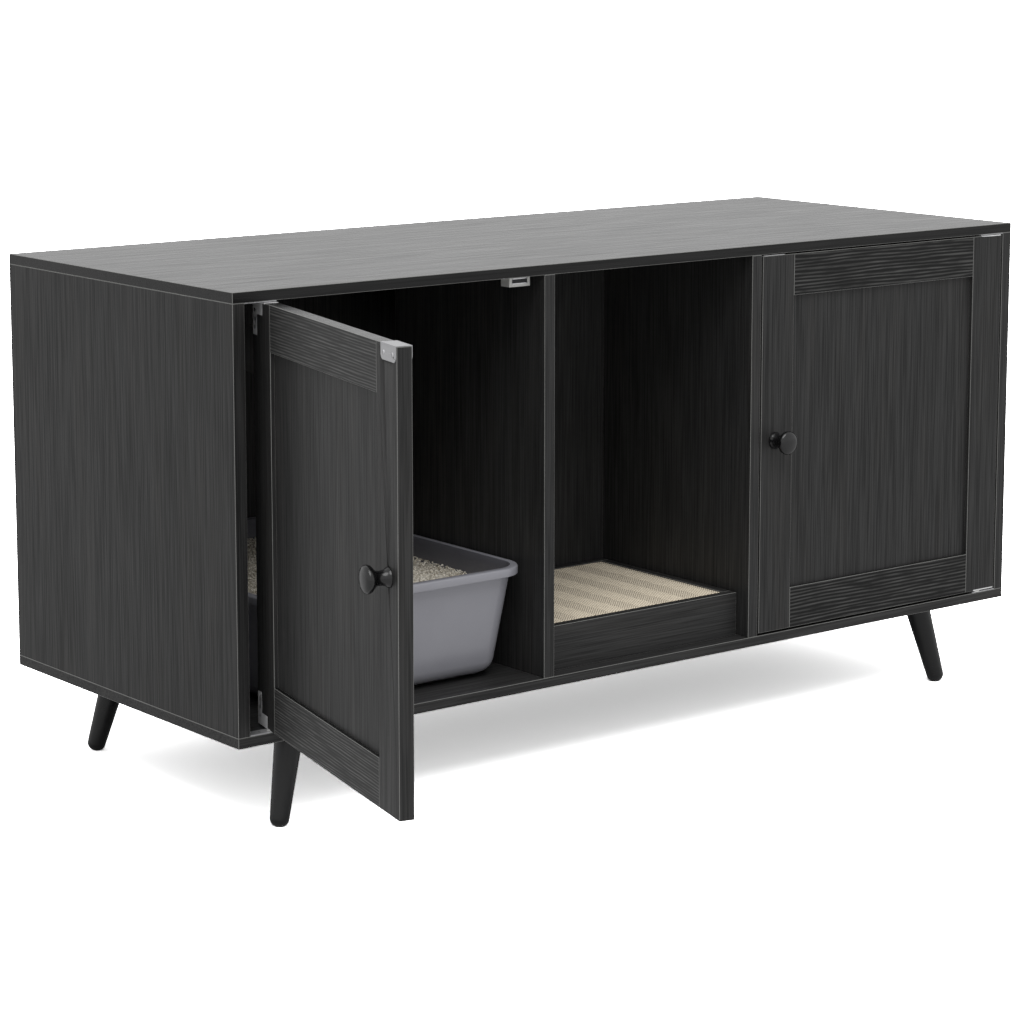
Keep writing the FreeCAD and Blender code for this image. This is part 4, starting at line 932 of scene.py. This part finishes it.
bm = bmesh.new()
bmesh.ops.create_grid(bm, x_segments=round(mat_size.x / GRID_STEP),
                      y_segments=round(mat_size.y / GRID_STEP), size=0.5)
middle = ((mat_low.x + mat_high.x) / 2, (mat_low.y + mat_high.y) / 2, mat_high.z - RIB_HEIGHT)
stretch = Matrix.Diagonal((mat_size.x, mat_size.y, 1, 1))
bmesh.ops.transform(bm, matrix=Matrix.Translation(middle) @ stretch, verts=bm.verts)
for vertex in bm.verts:
    x, y = vertex.co.xy
    rim = min(x - mat_low.x, mat_high.x - x, y - mat_low.y, mat_high.y - y)
    fade = min(1, rim / RIM_FADE)
    vertex.co.z += rib_lift(x, y) * fade - (1 - fade) ** 2 * RIM_DROP
border = [edge for edge in bm.edges if edge.is_boundary]
made = bmesh.ops.extrude_edge_only(bm, edges=border)["geom"]
for vertex in (item for item in made if isinstance(item, bmesh.types.BMVert)):
    vertex.co.z = mat_low.z
lower = [item for item in made if isinstance(item, bmesh.types.BMEdge)]
bmesh.ops.contextual_create(bm, geom=lower)
bmesh.ops.recalc_face_normals(bm, faces=bm.faces)
mesh = mesh_from(bm, "woven_mat", 60)
mat = finish_piece("sisal_mat", mesh, "scratch_mat", sisal_weave_painted_shade)
print("mat", len(mesh.polygons), "faces")

# %% [markdown]
# ## Floor and light
# The cabinet stands on a pale floor in a white room with no corners. The sky is the soft light, and
# a wide sun from the upper left gives the shadows their direction. Camera, glossy and transmission
# rays see plain white, so the lacquer and the nickel have something pale to mirror. The camera sees
# a floor that is part plain white and part lit paint, so its shadow stays pale; every other ray
# meets ordinary white paint.

# %% floor
FLOOR_RADIUS = 90
PLAIN_SHARE = 0.2
SEEN_PAINT = 6.8
bm = bmesh.new()
bmesh.ops.create_circle(bm, cap_ends=True, radius=FLOOR_RADIUS, segments=96)
floor = bpy.data.objects.new("studio_floor", mesh_from(bm, "studio_floor"))
bpy.context.scene.collection.objects.link(floor)
material, tree = new_material("matt_white_floor")
paint = add(tree, "BsdfDiffuse", {"Color": linear("efefef")})
seen_paint = add(tree, "BsdfDiffuse", {"Color": (SEEN_PAINT, SEEN_PAINT, SEEN_PAINT, 1)})
glow = add(tree, "Emission", {"Color": (1, 1, 1, 1), "Strength": 1.0})
seen_floor = add(tree, "MixShader", (PLAIN_SHARE, seen_paint, glow))
seen = add(tree, "LightPath").outputs["Is Camera Ray"]
add(tree, "OutputMaterial", {"Surface": add(tree, "MixShader", (seen, paint, seen_floor))})
floor.data.materials.append(material)
floor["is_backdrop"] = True
print("floor", 2 * FLOOR_RADIUS, "m across")

# %% sky and sun
SKY_LIGHT = 0.52
SUN_LIGHT = 1.5
SUN_SPREAD = math.radians(42)
SUN_TURN = (math.radians(26), math.radians(-18), 0)
world = bpy.data.worlds.new("white_room")
bpy.context.scene.world = world
world.use_nodes = True
tree = world.node_tree
tree.nodes.clear()
rays = add(tree, "LightPath").outputs
mirrored = add(tree, "Math", (rays["Is Glossy Ray"], rays["Is Transmission Ray"]),
               operation="MAXIMUM")
direct = add(tree, "Math", (rays["Is Camera Ray"], mirrored), operation="MAXIMUM")
strength = add(tree, "MapRange", (direct, 0, 1, SKY_LIGHT, 1.0))
sky = add(tree, "Background", {"Color": (1, 1, 1, 1), "Strength": strength})
add(tree, "OutputWorld", {"Surface": sky})

sun = bpy.data.lights.new("wide_sun", "SUN")
sun.energy = SUN_LIGHT
sun.angle = SUN_SPREAD
lamp = bpy.data.objects.new("wide_sun", sun)
lamp.rotation_euler = SUN_TURN
bpy.context.scene.collection.objects.link(lamp)
bpy.context.scene.view_settings.view_transform = "Standard"
print("sky", SKY_LIGHT, "and sun", SUN_LIGHT)

# %% [markdown]
# ## Size
# The finished cabinet has to be as large as the construction model. Its box is printed.

# %% the finished box
low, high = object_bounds()
print("finished box", [round(edge, 3) for edge in (*low, *high)])
